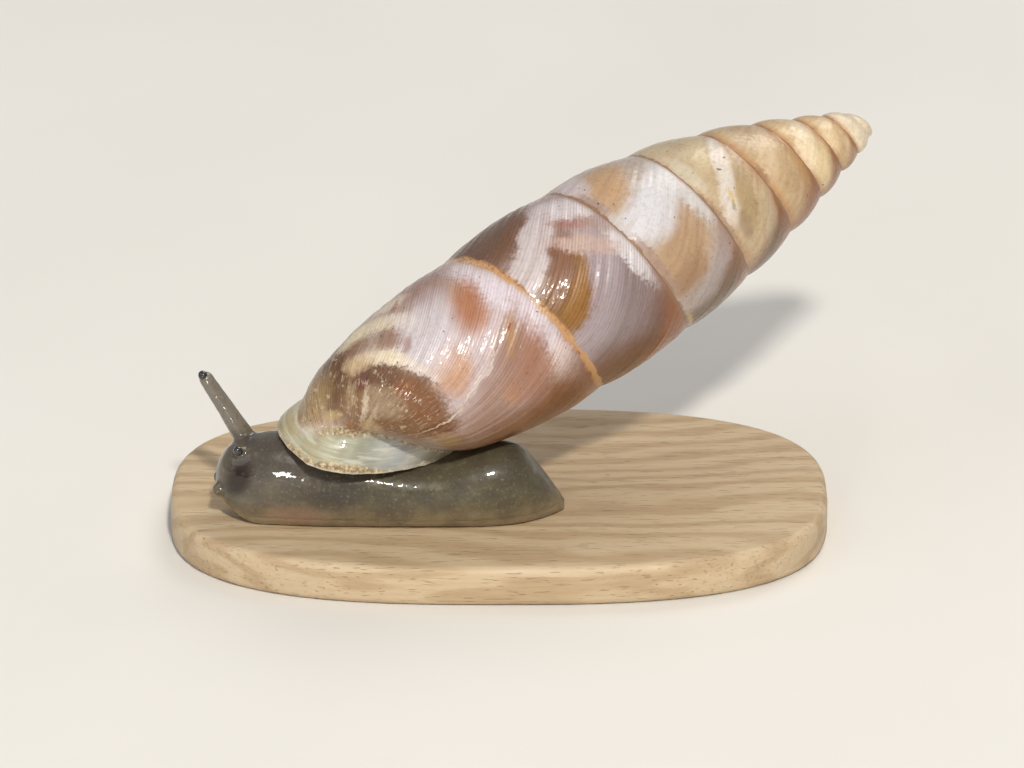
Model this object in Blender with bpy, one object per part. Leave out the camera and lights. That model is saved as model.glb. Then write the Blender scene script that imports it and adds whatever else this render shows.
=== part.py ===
"""A striped land snail, life size: a slender, high-spired, right-handed shell of eight
turns carried over a grey body, with one feeler out, one drawn in, on a flat base.
Metres, +Z up, head towards -X, the animal's left towards -Y. The origin lies under
the middle of the sole, on the underside of the base."""

import math

import bmesh
import bpy
from mathutils import Vector

MM = 0.001
WELD = 0.002 * MM
TOUCH = 0.0001 * MM  # points closer than this to a cutting plane lie on it

# Shell
SHELL_LENGTH = 24.0 * MM
SHELL_TURNS = 8
SHELL_RADIUS = 3.52 * MM
SPIRE_AZIMUTH = math.radians(30.2)  # back and to the animal's right
SPIRE_RISE = math.radians(21.8)
AXIS_FOOT = Vector((-2.97, -1.8, 2.74)) * MM  # where the axis leaves the shell in front
SUTURE_END = math.radians(118.7)  # where the last turn's seam reaches the lip
SPIRE_BEND = 1.0 * MM  # how far the tip droops from the straight axis
BEND_START = 9.0 * MM
BELLY_FLAT = 0.22  # how much the belly side flattens from there down to the base
WHORL_BULGE = 0.045  # of a turn's height, on the last turn
TIP_BULGE = 0.09  # more on the first turn, which rounds more
SEAM_RADIUS = 0.955  # of the shell's outline
WIDEST_AT = 12.5 * MM  # below the tip
TIP_ROUNDING = 0.47 * MM
FULLNESS = 0.877
NARROWING = 0.7  # past the widest, against the pace before it
TIP_SWELL = 0.16 * MM  # the blunt first turn
TIP_SWELL_AT = 0.45 * MM
TIP_SWELL_REACH = 0.8 * MM
TIP_CROWN = 0.14 * MM

# How the seam sinks below the tip with each turn t: RISE_1 t + RISE_2 t^2 + RISE_3 t^3
RISE_1, RISE_2, RISE_3 = 0.651 * MM, 0.0218 * MM, 0.0214 * MM

# Base of the last turn, which rounds in to the axis
BASE_HEIGHT = 2.0 * MM
BASE_START = math.radians(16)
CHINK_RADIUS = 0.3 * MM
BASE_SLANT = math.radians(16)

# Shell mesh: a growth line slants back by SLANT_STEPS of a turn's TURN_STEPS
TURN_STEPS = 24
SLANT_STEPS = 4
GROWTH_BOW = 1.6  # the growth line leaves the seam this much steeper than its mean
WHORL_ROWS = 6
BASE_ROWS = 6

# Lip: an egg-shaped edge in one plane, tilted to the axis and rolled about it
LIP_TILT = 0.513
LIP_ROLL = 0.28
LIP_CENTRE = (3.42 * MM, 1.15 * MM)
LIP_HALF_LENGTH = 3.8 * MM
LIP_HALF_WIDTH = 2.25 * MM
LIP_EGG = 0.12
LIP_SQUARENESS = 0.75
LIP_STEPS = 40
# The flare behind the lip: depth in mm, and size against the lip
LIP_DOME = ((0.0, 1.0), (0.3, 0.96), (0.7, 0.87), (1.15, 0.72), (1.6, 0.52), (2.0, 0.25))
OPENING_DEPTH = 1.5 * MM  # where the coil's end closes, inside the flare
MOUTH_DEPTH = 0.9 * MM
MOUTH_RIM = 0.88  # of the lip
MOUTH_FLOOR = 0.74
MOUTH_WAIST = 0.6  # of the depth
MOUTH_OVERCUT = 0.4 * MM
COLLAR_RIM = 0.83
COLLAR_FLOOR = 0.69
COLLAR_DEPTHS = (0.02 * MM, 0.8 * MM)

# Body: (x, half width, underside, top) in mm along the animal, from snout to tail
BODY_STATIONS = (
    (-6.32, 0.20, 1.18, 1.72),
    (-6.18, 0.52, 0.86, 2.08),
    (-5.86, 0.86, 0.50, 2.52),
    (-5.35, 1.12, 0.16, 2.84),
    (-4.80, 1.26, 0.0, 2.98),
    (-4.00, 1.36, 0.0, 3.04),
    (-3.00, 1.46, 0.0, 2.90),
    (-1.50, 1.52, 0.0, 2.45),
    (0.50, 1.54, 0.0, 2.14),
    (1.70, 1.54, 0.0, 2.20),
    (2.70, 1.52, 0.0, 2.48),
    (3.60, 1.46, 0.0, 2.60),
    (4.40, 1.30, 0.0, 2.38),
    (5.00, 1.02, 0.0, 1.62),
    (5.50, 0.66, 0.0, 0.90),
    (5.90, 0.26, 0.0, 0.32),
)
BODY_RINGS = 46
BODY_SIDES = 24
BODY_BOXINESS = 0.82
BELLY_LINE = 0.36  # of the height, where the body is widest
SOLE_CUT = 1.35  # the lower half is this much deeper before the sole cuts it flat
TAIL_SWING = 0.45 * MM  # the tail's end lies to the animal's right
TAIL_START = 2.7 * MM
TAIL_END = 5.9 * MM

# Where the body is parted, and the gap of each parting
HEAD_END = -4.75 * MM
NECK_END = -2.6 * MM
NECK_FLOOR = 1.15 * MM
TAIL_JOINT = 2.7 * MM
PARTING = 0.06 * MM
CLEARANCE = 0.05 * MM
NECK_ROOM_SIZE = Vector((NECK_END - HEAD_END + 2 * MM, 8 * MM, 6 * MM))

# Feelers: base, tip, base radius, tip radius
FEELER_OUT = (Vector((-5.16, 0.42, 2.52)) * MM, Vector((-6.77, 0.98, 4.97)) * MM)
FEELER_OUT_RADII = (0.42 * MM, 0.27 * MM)
FEELER_IN = (Vector((-5.26, -0.45, 2.45)) * MM, Vector((-5.52, -0.66, 2.80)) * MM)
FEELER_IN_RADII = (0.36 * MM, 0.27 * MM)
FEELER_TAPER = 0.7
FEELER_STOPS = (0.0, 0.2, 0.45, 0.7)
FEELER_SHAFT = 0.96  # of the swollen tip's line
LIP_FEELER_LENGTH = 0.52 * MM
LIP_FEELER_RADII = (0.30 * MM, 0.25 * MM)
LIP_FEELER_BASE = Vector((-5.98, 0.42, 1.28)) * MM
LIP_FEELER_WAY = Vector((-0.80, 0.34, -0.50))
MOUTH_LOBE = Vector((-6.10, 0.0, 0.92)) * MM
MOUTH_LOBE_SIZE = Vector((0.34, 0.42, 0.28)) * MM
FEELER_SIDES = 14
EYE_RADIUS = 0.17 * MM
EYE_LIFT = Vector((0, 0, 0.06 * MM))
EYE_SINK = 0.09 * MM
EYE_ROOM = 1.15
BALL_ROWS = 8

# Stand
STAND_CENTRE = Vector((3.6, 2.2)) * MM
STAND_HALF_LENGTH = 11.6 * MM
STAND_HALF_WIDTH = 6.6 * MM
STAND_SQUARENESS = 0.72
STAND_THICKNESS = 1.5 * MM
STAND_CHAMFER = 0.3 * MM
STAND_STEPS = 64
STAND_GAP = 0.02 * MM


def clear_scene():
    for old in list(bpy.data.objects):
        bpy.data.objects.remove(old, do_unlink=True)


def finish_material(name, colour, roughness):
    made = bpy.data.materials.new(name)
    made.use_nodes = True
    shader = made.node_tree.nodes["Principled BSDF"]
    shader.inputs["Base Color"].default_value = (*colour, 1.0)
    shader.inputs["Roughness"].default_value = roughness
    shader.inputs["Metallic"].default_value = 0.0
    return made


def make_object(name, bm, material, parent):
    """Turns a closed bmesh into a smooth-shaded object under the parent."""
    bmesh.ops.recalc_face_normals(bm, faces=bm.faces)
    mesh = bpy.data.meshes.new(name)
    bm.to_mesh(mesh)
    bm.free()
    mesh.shade_smooth()
    made = bpy.data.objects.new(name, mesh)
    bpy.context.scene.collection.objects.link(made)
    if material:
        mesh.materials.append(material)
    made.parent = parent
    return made


def make_cutter(name, bm, parent):
    cutter = make_object(name, bm, None, parent)
    cutter.hide_render = True
    cutter.display_type = "WIRE"
    return cutter


def combine(target, other, operation):
    modifier = target.modifiers.new(f"{operation.lower()}_{other.name}", "BOOLEAN")
    modifier.operation = operation
    modifier.solver = "EXACT"
    modifier.object = other


def ring_loft(bm, rings):
    """Joins equal rings of points into a tube and closes both ends."""
    loops = [[bm.verts.new(point) for point in ring] for ring in rings]
    for first, second in zip(loops, loops[1:]):
        for i in range(len(first)):
            j = (i + 1) % len(first)
            bm.faces.new((first[i], first[j], second[j], second[i]))
    for loop in (loops[0], loops[-1]):
        bm.faces.new(loop)
    return loops


# ---------------------------------------------------------------- shell directions
AXIS = Vector(
    (
        math.cos(SPIRE_RISE) * math.cos(SPIRE_AZIMUTH),
        math.cos(SPIRE_RISE) * math.sin(SPIRE_AZIMUTH),
        math.sin(SPIRE_RISE),
    )
)
SHELL_LEFT = Vector((math.sin(SPIRE_AZIMUTH), -math.cos(SPIRE_AZIMUTH), 0.0))
SHELL_BELLY = AXIS.cross(SHELL_LEFT)
LIP_LONG = (AXIS + LIP_TILT * SHELL_BELLY).normalized()
LIP_ACROSS = -SHELL_LEFT - LIP_ROLL * SHELL_BELLY
LIP_ACROSS = (LIP_ACROSS - LIP_ACROSS.dot(LIP_LONG) * LIP_LONG).normalized()
LIP_UP = LIP_LONG.cross(LIP_ACROSS)


def seam_drop(turn):
    """How far below the tip the seam lies after this many turns."""
    return RISE_1 * turn + RISE_2 * turn**2 + RISE_3 * turn**3


def outline_radius(drop):
    """The spindle's radius this far below the tip. It narrows slowly past its widest."""
    part = max(0.0, (drop + TIP_ROUNDING) / (WIDEST_AT + TIP_ROUNDING)) ** FULLNESS
    if part > 1:
        part = 1 + NARROWING * (part - 1)
    swell = TIP_SWELL * math.exp(-(((drop - TIP_SWELL_AT) / TIP_SWELL_REACH) ** 2))
    return SHELL_RADIUS * math.sin(math.pi / 2 * part) + swell


def shell_point(radius, drop, angle):
    """The angle runs from the shell's left towards its belly."""
    along = SHELL_LENGTH - drop
    bend = SPIRE_BEND * (max(0.0, along - BEND_START) / (SHELL_LENGTH - BEND_START)) ** 2
    flat = BELLY_FLAT * max(0.0, math.sin(angle)) * max(0.0, 1 - along / BEND_START)
    radius *= 1 - flat
    return (
        AXIS_FOOT
        + along * AXIS
        + radius * math.cos(angle) * SHELL_LEFT
        + (radius * math.sin(angle) + bend) * SHELL_BELLY
    )


def growth_slant(across):
    """How far behind the seam a growth line lies, part of the way across a turn."""
    full = math.tau * SLANT_STEPS / TURN_STEPS
    return full * (GROWTH_BOW * across + (1 - GROWTH_BOW) * across**2)


def whorl_point(turn, across):
    """A point of the turn between its own seam, 0, and the next turn's seam, 1."""
    upper = seam_drop(turn)
    lower = seam_drop(turn + 1 - SLANT_STEPS / TURN_STEPS)
    drop = upper + (lower - upper) * across
    upper_radius = SEAM_RADIUS * outline_radius(upper)
    lower_radius = SEAM_RADIUS * outline_radius(lower)
    roundness = WHORL_BULGE + TIP_BULGE * (1 - turn / SHELL_TURNS) ** 2
    bulge = roundness * (lower - upper) * 4 * across * (1 - across)
    radius = upper_radius + (lower_radius - upper_radius) * across + bulge
    angle = SUTURE_END - math.tau * turn + growth_slant(across)
    return shell_point(radius, drop, angle)


def base_point(turn, part):
    """A point of the last turn's base, from the seam line, 0, in to the chink, 1."""
    rim_drop = seam_drop(turn + 1 - SLANT_STEPS / TURN_STEPS)
    rim = SEAM_RADIUS * outline_radius(rim_drop)
    bow = BASE_START + (math.pi / 2 - BASE_START) * part
    radius = CHINK_RADIUS + (rim - CHINK_RADIUS) * math.cos(bow) / math.cos(BASE_START)
    sink = (math.sin(bow) - math.sin(BASE_START)) / (1 - math.sin(BASE_START))
    angle = SUTURE_END - math.tau * turn + growth_slant(1) + BASE_SLANT * part
    return shell_point(radius, rim_drop + BASE_HEIGHT * sink, angle)


def lip_point(around, scale, depth):
    """A point of the egg-shaped lip. It is widest in front, and depth goes up inside."""
    side = math.sin(around)
    side = math.copysign(abs(side) ** LIP_SQUARENESS, side)
    x = LIP_CENTRE[0] - scale * LIP_HALF_LENGTH * math.cos(around)
    y = LIP_CENTRE[1] + scale * LIP_HALF_WIDTH * side * (1 + LIP_EGG * math.cos(around))
    return AXIS_FOOT + x * LIP_LONG + y * LIP_ACROSS + depth * LIP_UP


def lip_ring(scale, depth):
    return [lip_point(math.tau * i / LIP_STEPS, scale, depth) for i in range(LIP_STEPS)]


def coiled_shell():
    """The coil as one strip: each turn's lower edge is the next turn's upper edge."""
    bm = bmesh.new()
    last = SHELL_TURNS * TURN_STEPS
    step_on = TURN_STEPS - SLANT_STEPS
    rows = [
        [bm.verts.new(whorl_point(i / TURN_STEPS, j / WHORL_ROWS)) for j in range(WHORL_ROWS)]
        for i in range(last + 1)
    ]
    for i, row in enumerate(rows):
        if i + step_on <= last:
            row.append(rows[i + step_on][0])
        else:
            row.append(bm.verts.new(whorl_point(i / TURN_STEPS, 1)))
    open_from = last - step_on
    for i in range(open_from, last + 1):
        for k in range(1, BASE_ROWS + 1):
            rows[i].append(bm.verts.new(base_point(i / TURN_STEPS, k / BASE_ROWS)))
    for i in range(last):
        across = WHORL_ROWS + BASE_ROWS if i >= open_from else WHORL_ROWS
        for j in range(across):
            bm.faces.new((rows[i][j], rows[i + 1][j], rows[i + 1][j + 1], rows[i][j + 1]))
    tip = [rows[i][0] for i in range(step_on + 1)] + rows[0][WHORL_ROWS - 1 : 0 : -1]
    close_with_fan(bm, tip, shell_point(0.0, -TIP_CROWN, 0.0))
    opening = rows[last][:] + [rows[i][-1] for i in range(last - 1, open_from - 1, -1)]
    opening += rows[open_from][-2:WHORL_ROWS:-1]
    close_with_fan(bm, opening, lip_point(0.0, 0.0, OPENING_DEPTH))
    return bm


def close_with_fan(bm, loop, middle):
    centre = bm.verts.new(middle)
    for first, second in zip(loop, loop[1:] + loop[:1]):
        bm.faces.new((first, second, centre))


def lip_dome():
    """The flared neck of the mouth, solid, which the coil's end runs into."""
    bm = bmesh.new()
    ring_loft(bm, [lip_ring(scale, depth * MM) for depth, scale in LIP_DOME])
    return bm


def mouth_plug(rim, floor, low, high):
    """A plug of the mouth's own outline, narrowing as it goes in."""
    bm = bmesh.new()
    waist = lip_ring((rim + floor) / 2, high * MOUTH_WAIST)
    ring_loft(bm, [lip_ring(rim, low), waist, lip_ring(floor, high)])
    return bm


def grown(source, distance):
    """A copy of an object's finished mesh with its surface moved out, to cut a gap."""
    bpy.context.view_layer.update()
    graph = bpy.context.evaluated_depsgraph_get()
    bm = bmesh.new()
    bm.from_mesh(source.evaluated_get(graph).to_mesh())
    bmesh.ops.remove_doubles(bm, verts=bm.verts, dist=WELD)
    bm.normal_update()
    shifts = [(vert, vert.normal * distance) for vert in bm.verts]
    for vert, shift in shifts:
        vert.co += shift
    return bm


# ---------------------------------------------------------------- body
def body_size(x):
    """Half width, underside and top at x, on a smooth curve through the stations."""
    stations = BODY_STATIONS
    k = max(i for i in range(len(stations) - 1) if stations[i][0] * MM <= x + TOUCH)
    near, far = stations[k], stations[k + 1]
    before = stations[max(k - 1, 0)]
    after = stations[min(k + 2, len(stations) - 1)]
    span = far[0] - near[0]
    f = (x / MM - near[0]) / span
    sizes = []
    for axis in (1, 2, 3):
        slope_in = (far[axis] - before[axis]) / (far[0] - before[0]) * span
        slope_out = (after[axis] - near[axis]) / (after[0] - near[0]) * span
        value = (
            (2 * f**3 - 3 * f**2 + 1) * near[axis]
            + (f**3 - 2 * f**2 + f) * slope_in
            + (3 * f**2 - 2 * f**3) * far[axis]
            + (f**3 - f**2) * slope_out
        )
        sizes.append(max(value, 0.0) * MM)
    return sizes


def body_ring(x):
    """A section of the body: a rounded hump on a flat sole."""
    half, under, top = body_size(x)
    swing = TAIL_SWING * max(0.0, (x - TAIL_START) / (TAIL_END - TAIL_START)) ** 2
    waist = under + BELLY_LINE * (top - under)
    points = []
    for i in range(BODY_SIDES):
        turn = math.tau * i / BODY_SIDES
        y, z = math.sin(turn), math.cos(turn)
        y = math.copysign(abs(y) ** BODY_BOXINESS, y) * half
        z = math.copysign(abs(z) ** BODY_BOXINESS, z)
        height = waist + z * ((top - waist) if z > 0 else SOLE_CUT * (waist - under))
        points.append(Vector((x, y + swing, max(height, under))))
    return points


def whole_body():
    bm = bmesh.new()
    start, end = BODY_STATIONS[0][0] * MM, BODY_STATIONS[-1][0] * MM
    parts = [0.5 - 0.5 * math.cos(math.pi * i / BODY_RINGS) for i in range(BODY_RINGS + 1)]
    ring_loft(bm, [body_ring(start + (end - start) * part) for part in parts])
    return bm


def keep_side(bm, point, normal):
    """Keeps what lies on the side that the normal points away from, with a flat end."""
    everything = bm.verts[:] + bm.edges[:] + bm.faces[:]
    cut = bmesh.ops.bisect_plane(
        bm, geom=everything, dist=TOUCH, plane_co=point, plane_no=normal, clear_outer=True
    )
    edges = [item for item in cut["geom_cut"] if isinstance(item, bmesh.types.BMEdge)]
    bmesh.ops.holes_fill(bm, edges=edges, sides=0)
    return bm


def body_piece(planes):
    bm = whole_body()
    for point, normal in planes:
        keep_side(bm, Vector(point), Vector(normal))
    return bm


def feeler_mesh(base, tip, base_radius, tip_radius):
    """A tapering feeler with a domed, slightly swollen end."""
    bm = bmesh.new()
    way = (tip - base).normalized()
    side = way.cross(Vector((0, 1, 0))).normalized()
    other = way.cross(side)
    length = (tip - base).length
    shaft = length - tip_radius
    slack = tip_radius - base_radius
    profile = [
        (shaft * part, FEELER_SHAFT * (base_radius + slack * part**FEELER_TAPER))
        for part in FEELER_STOPS
    ]
    profile += [
        (shaft + tip_radius * math.sin(bow), tip_radius * math.cos(bow))
        for bow in (math.radians(angle) for angle in (0, 25, 50, 75))
    ]
    rings = [
        [
            base + way * along + radius * (math.cos(turn) * side + math.sin(turn) * other)
            for turn in (math.tau * i / FEELER_SIDES for i in range(FEELER_SIDES))
        ]
        for along, radius in profile
    ]
    ring_loft(bm, rings)
    return bm


def ball(centre, size):
    bm = bmesh.new()
    bmesh.ops.create_uvsphere(bm, u_segments=2 * BALL_ROWS, v_segments=BALL_ROWS, radius=1.0)
    bmesh.ops.scale(bm, vec=size, verts=bm.verts)
    bmesh.ops.translate(bm, vec=centre, verts=bm.verts)
    return bm


# ---------------------------------------------------------------- pieces
def build_shell(parent, finish):
    shell = make_object("shell", coiled_shell(), finish, parent)
    dome = make_cutter("lip_dome", lip_dome(), parent)
    space = mouth_plug(MOUTH_RIM, MOUTH_FLOOR, -MOUTH_OVERCUT, MOUTH_DEPTH)
    plug = make_cutter("mouth_space", space, parent)
    combine(shell, dome, "UNION")
    combine(shell, plug, "DIFFERENCE")
    return shell


def build_body(parent, finish, shell_gap):
    """Head, neck, foot and tail, parted by thin flat cuts, hollowed where the shell sits."""
    half = PARTING / 2
    back, front, down, up = (1, 0, 0), (-1, 0, 0), (0, 0, -1), (0, 0, 1)
    pieces = {
        "head": [((HEAD_END - half, 0, 0), back)],
        "neck": [
            ((HEAD_END + half, 0, 0), front),
            ((NECK_END - half, 0, 0), back),
            ((0, 0, NECK_FLOOR + half), down),
        ],
        "foot": [((HEAD_END + half, 0, 0), front), ((TAIL_JOINT - half, 0, 0), back)],
        "tail": [((TAIL_JOINT + half, 0, 0), front)],
    }
    made = {
        name: make_object(name, body_piece(cuts), finish, parent) for name, cuts in pieces.items()
    }
    notch = bmesh.new()
    bmesh.ops.create_cube(notch, size=1.0)
    bmesh.ops.scale(notch, vec=NECK_ROOM_SIZE, verts=notch.verts)
    corner = Vector((NECK_END + half, 0, NECK_FLOOR - half))
    middle = corner + Vector((-NECK_ROOM_SIZE.x / 2, 0, NECK_ROOM_SIZE.z / 2))
    bmesh.ops.translate(notch, vec=middle, verts=notch.verts)
    combine(made["foot"], make_cutter("neck_space", notch, parent), "DIFFERENCE")
    for name in ("neck", "foot", "tail"):
        combine(made[name], shell_gap, "DIFFERENCE")
    return made


def build_collar(parent, finish, shell_gap, body):
    """The mantle's edge, which fills the shell's mouth round the stalk of the body."""
    plug = mouth_plug(COLLAR_RIM, COLLAR_FLOOR, *COLLAR_DEPTHS)
    collar = make_object("mantle_collar", plug, finish, parent)
    combine(collar, shell_gap, "DIFFERENCE")
    for name in ("neck", "foot", "tail"):
        cutter = make_cutter(f"{name}_room", grown(body[name], CLEARANCE), parent)
        combine(collar, cutter, "DIFFERENCE")
    return collar


def build_feelers(parent, skin, eye_finish, head):
    head_room = make_cutter("head_room", grown(head, CLEARANCE), parent)
    for side, (base, tip), radii in (
        ("right", FEELER_OUT, FEELER_OUT_RADII),
        ("left", FEELER_IN, FEELER_IN_RADII),
    ):
        feeler = make_object(f"upper_feeler_{side}", feeler_mesh(base, tip, *radii), skin, parent)
        combine(feeler, head_room, "DIFFERENCE")
        centre = tip + EYE_LIFT - (tip - base).normalized() * EYE_SINK
        size = Vector((1, 1, 1)) * EYE_RADIUS
        make_object(f"eye_{side}", ball(centre, size), eye_finish, parent)
        room = ball(centre, size * EYE_ROOM)
        combine(feeler, make_cutter(f"eye_room_{side}", room, parent), "DIFFERENCE")
    for side, sign in (("right", 1), ("left", -1)):
        flip = Vector((1, sign, 1))
        base = LIP_FEELER_BASE * flip
        tip = base + (LIP_FEELER_WAY * flip).normalized() * LIP_FEELER_LENGTH
        shape = feeler_mesh(base, tip, *LIP_FEELER_RADII)
        feeler = make_object(f"lower_feeler_{side}", shape, skin, parent)
        combine(feeler, head_room, "DIFFERENCE")
    lobe = make_object("mouth", ball(MOUTH_LOBE, MOUTH_LOBE_SIZE), skin, parent)
    combine(lobe, head_room, "DIFFERENCE")
    for side in ("right", "left"):
        room = grown(bpy.data.objects[f"lower_feeler_{side}"], CLEARANCE)
        combine(lobe, make_cutter(f"lip_room_{side}", room, parent), "DIFFERENCE")


def build_stand(finish):
    """A thin oval slab with broken edges, under the whole animal."""
    bm = bmesh.new()

    def outline(inset, height):
        points = []
        for i in range(STAND_STEPS):
            turn = math.tau * i / STAND_STEPS
            x, y = math.cos(turn), math.sin(turn)
            x = math.copysign(abs(x) ** STAND_SQUARENESS, x) * (STAND_HALF_LENGTH - inset)
            y = math.copysign(abs(y) ** STAND_SQUARENESS, y) * (STAND_HALF_WIDTH - inset)
            points.append(Vector((STAND_CENTRE.x + x, STAND_CENTRE.y + y, height)))
        return points

    top = STAND_THICKNESS - STAND_GAP
    rings = [
        outline(STAND_CHAMFER, 0.0),
        outline(0.0, STAND_CHAMFER),
        outline(0.0, top - STAND_CHAMFER),
        outline(STAND_CHAMFER, top),
    ]
    ring_loft(bm, rings)
    return make_object("stand_base", bm, finish, None)


clear_scene()
shell_finish = finish_material("striped_shell", (0.55, 0.42, 0.36), 0.28)
skin_finish = finish_material("grey_skin", (0.20, 0.19, 0.18), 0.25)
eye_material = finish_material("eye_black", (0.012, 0.011, 0.012), 0.12)
stand_finish = finish_material("stand_wood", (0.42, 0.29, 0.18), 0.55)

snail = bpy.data.objects.new("snail", None)
bpy.context.scene.collection.objects.link(snail)
snail.location = (0, 0, STAND_THICKNESS)

shell_piece = build_shell(snail, shell_finish)
shell_room = make_cutter("shell_room", grown(shell_piece, CLEARANCE), snail)
body_pieces = build_body(snail, skin_finish, shell_room)
build_collar(snail, skin_finish, shell_room, body_pieces)
build_feelers(snail, skin_finish, eye_material, body_pieces["head"])
build_stand(stand_finish)
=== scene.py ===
"""A striped land snail, life size, as a still display model: a tall spindle of a shell
carried over a grey wet body, on an oval wooden base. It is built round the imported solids."""

import math

import bmesh
import bpy
import numpy as np
from mathutils import Matrix, Vector, noise
from mathutils.kdtree import KDTree


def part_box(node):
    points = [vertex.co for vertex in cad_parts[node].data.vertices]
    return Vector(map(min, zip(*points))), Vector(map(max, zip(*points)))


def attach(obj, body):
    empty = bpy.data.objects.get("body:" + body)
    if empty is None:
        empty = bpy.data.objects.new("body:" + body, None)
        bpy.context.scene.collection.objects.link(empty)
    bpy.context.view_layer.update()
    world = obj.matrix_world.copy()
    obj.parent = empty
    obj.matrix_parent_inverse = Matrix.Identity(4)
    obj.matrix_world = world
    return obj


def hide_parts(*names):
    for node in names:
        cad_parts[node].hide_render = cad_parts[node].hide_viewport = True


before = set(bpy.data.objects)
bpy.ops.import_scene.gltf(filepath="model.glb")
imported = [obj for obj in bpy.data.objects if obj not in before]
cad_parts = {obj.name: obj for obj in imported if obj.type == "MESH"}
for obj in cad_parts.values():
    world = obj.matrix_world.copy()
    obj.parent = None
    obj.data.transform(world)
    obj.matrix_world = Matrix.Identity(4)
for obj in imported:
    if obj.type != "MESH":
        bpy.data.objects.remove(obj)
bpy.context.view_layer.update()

# ---------------------------------------------------------------- wooden base
# The display base: an oval slab of pale close-grained wood, sawn from one board, its
# edges softly rounded, sanded and waxed. The snail's sole rests on its flat top.
MM = 0.001
BASE_SQUARENESS = 0.72
BASE_SIDES = 192
BASE_ROUNDING = 0.3 * MM
BASE_ROUNDING_STEPS = 5
RING_BEAT = 5.2  # radians of the growth rings' wave in a millimetre across the board
GRAIN_WANDER = 9.0
base_low, base_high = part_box("stand_base")


def paint(red, green, blue):
    """A colour as it looks on a screen, 0 to 255, in the shader's linear values."""
    parts = [part / 255 for part in (red, green, blue)]
    linear = [((part + 0.055) / 1.055) ** 2.4 if part > 0.04 else part / 12.92 for part in parts]
    return (*linear, 1.0)


def new_finish(name):
    """A material, its node tree and its shader. The functions below add to the latest tree."""
    finish = bpy.data.materials.new(name)
    finish.use_nodes = True
    return finish, finish.node_tree, finish.node_tree.nodes["Principled BSDF"]


def plug(socket, value):
    """Gives a socket a number, a colour or another node's output."""
    if isinstance(value, bpy.types.NodeSocket):
        socket.id_data.links.new(value, socket)
    else:
        socket.default_value = value


def add(kind, **settings):
    """A new node of the shader tree."""
    made = tree.nodes.new("ShaderNode" + kind)
    for name, value in settings.items():
        setattr(made, name, value)
    return made


def maths(operation, first, second=0.0, third=0.0):
    made = add("Math", operation=operation)
    for socket, value in zip(made.inputs, (first, second, third)):
        plug(socket, value)
    return made.outputs[0]


def times(*factors):
    """The product of the factors."""
    product = factors[0]
    for factor in factors[1:]:
        product = maths("MULTIPLY", product, factor)
    return product


def soft_step(value, low, high, start=0.0, end=1.0):
    """Goes smoothly from start to end as the value goes from low to high."""
    made = add("MapRange", interpolation_type="SMOOTHSTEP")
    for socket, given in zip(made.inputs, (value, low, high, start, end)):
        plug(socket, given)
    return made.outputs[0]


def tint(share, under, over, way="MIX"):
    """Lays a colour over another by a share. Each is red, green and blue, or an output."""
    made = add("Mix", data_type="RGBA", blend_type=way)
    plug(made.inputs[0], share)
    for socket, value in zip(made.inputs[6:8], (under, over)):
        plug(socket, paint(*value) if isinstance(value, tuple) else value)
    return made.outputs[2]


def stain(under, shade, value, low, high, most, way="MIX"):
    """Lays a shade over a colour: none where the value is low, the most where it is high."""
    return tint(soft_step(value, low, high, 0.0, most), under, shade, way)


def sides_of(vector):
    """The vector's outputs X, Y and Z."""
    made = add("SeparateXYZ")
    plug(made.inputs[0], vector)
    return made.outputs


def stretched(place, scale, shift=(0, 0, 0)):
    """The place, shifted and scaled along each axis."""
    made = add("Mapping")
    plug(made.inputs["Vector"], place)
    made.inputs["Location"].default_value = shift
    made.inputs["Scale"].default_value = scale
    return made.outputs[0]


def place_in_mm():
    return stretched(add("TexCoord").outputs["Object"], (1 / MM, 1 / MM, 1 / MM))


def cloud(place, scale, detail=2.0, roughness=0.5, warp=0.0):
    """Soft noise from 0 to 1. The scale is one number, or one for each axis."""
    if isinstance(scale, tuple):
        place, scale = stretched(place, scale), 1.0
    made = add("TexNoise")
    plug(made.inputs["Vector"], place)
    made.inputs["Scale"].default_value = scale
    made.inputs["Detail"].default_value = detail
    made.inputs["Roughness"].default_value = roughness
    made.inputs["Distortion"].default_value = warp
    return made.outputs[0]


def tones(share, stops):
    """The colour that the stops give to a share from 0 to 1."""
    made = add("ValToRGB")
    plug(made.inputs[0], share)
    ramp = made.color_ramp
    while len(ramp.elements) < len(stops):
        ramp.elements.new(0.5)
    for element, (position, colour) in zip(ramp.elements, stops):
        element.position = position
        element.color = paint(*colour)
    return made.outputs[0]


def relief(shader, height, depth, coat=False):
    """Bumps of the given depth in metres on the shader's surface."""
    made = add("Bump")
    made.inputs["Distance"].default_value = depth
    plug(made.inputs["Height"], height)
    plug(shader.inputs["Coat Normal" if coat else "Normal"], made.outputs[0])


def new_piece(name, bm, finish, scale=1.0):
    """A smooth-shaded piece whose place is in its mesh."""
    bmesh.ops.scale(bm, vec=(scale, scale, scale), verts=bm.verts)
    mesh = bpy.data.meshes.new(name)
    bm.to_mesh(mesh)
    bm.free()
    mesh.shade_smooth()
    if finish:
        mesh.materials.clear()
        mesh.materials.append(finish)
    piece = bpy.data.objects.new(name, mesh)
    bpy.context.scene.collection.objects.link(piece)
    return piece


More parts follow.
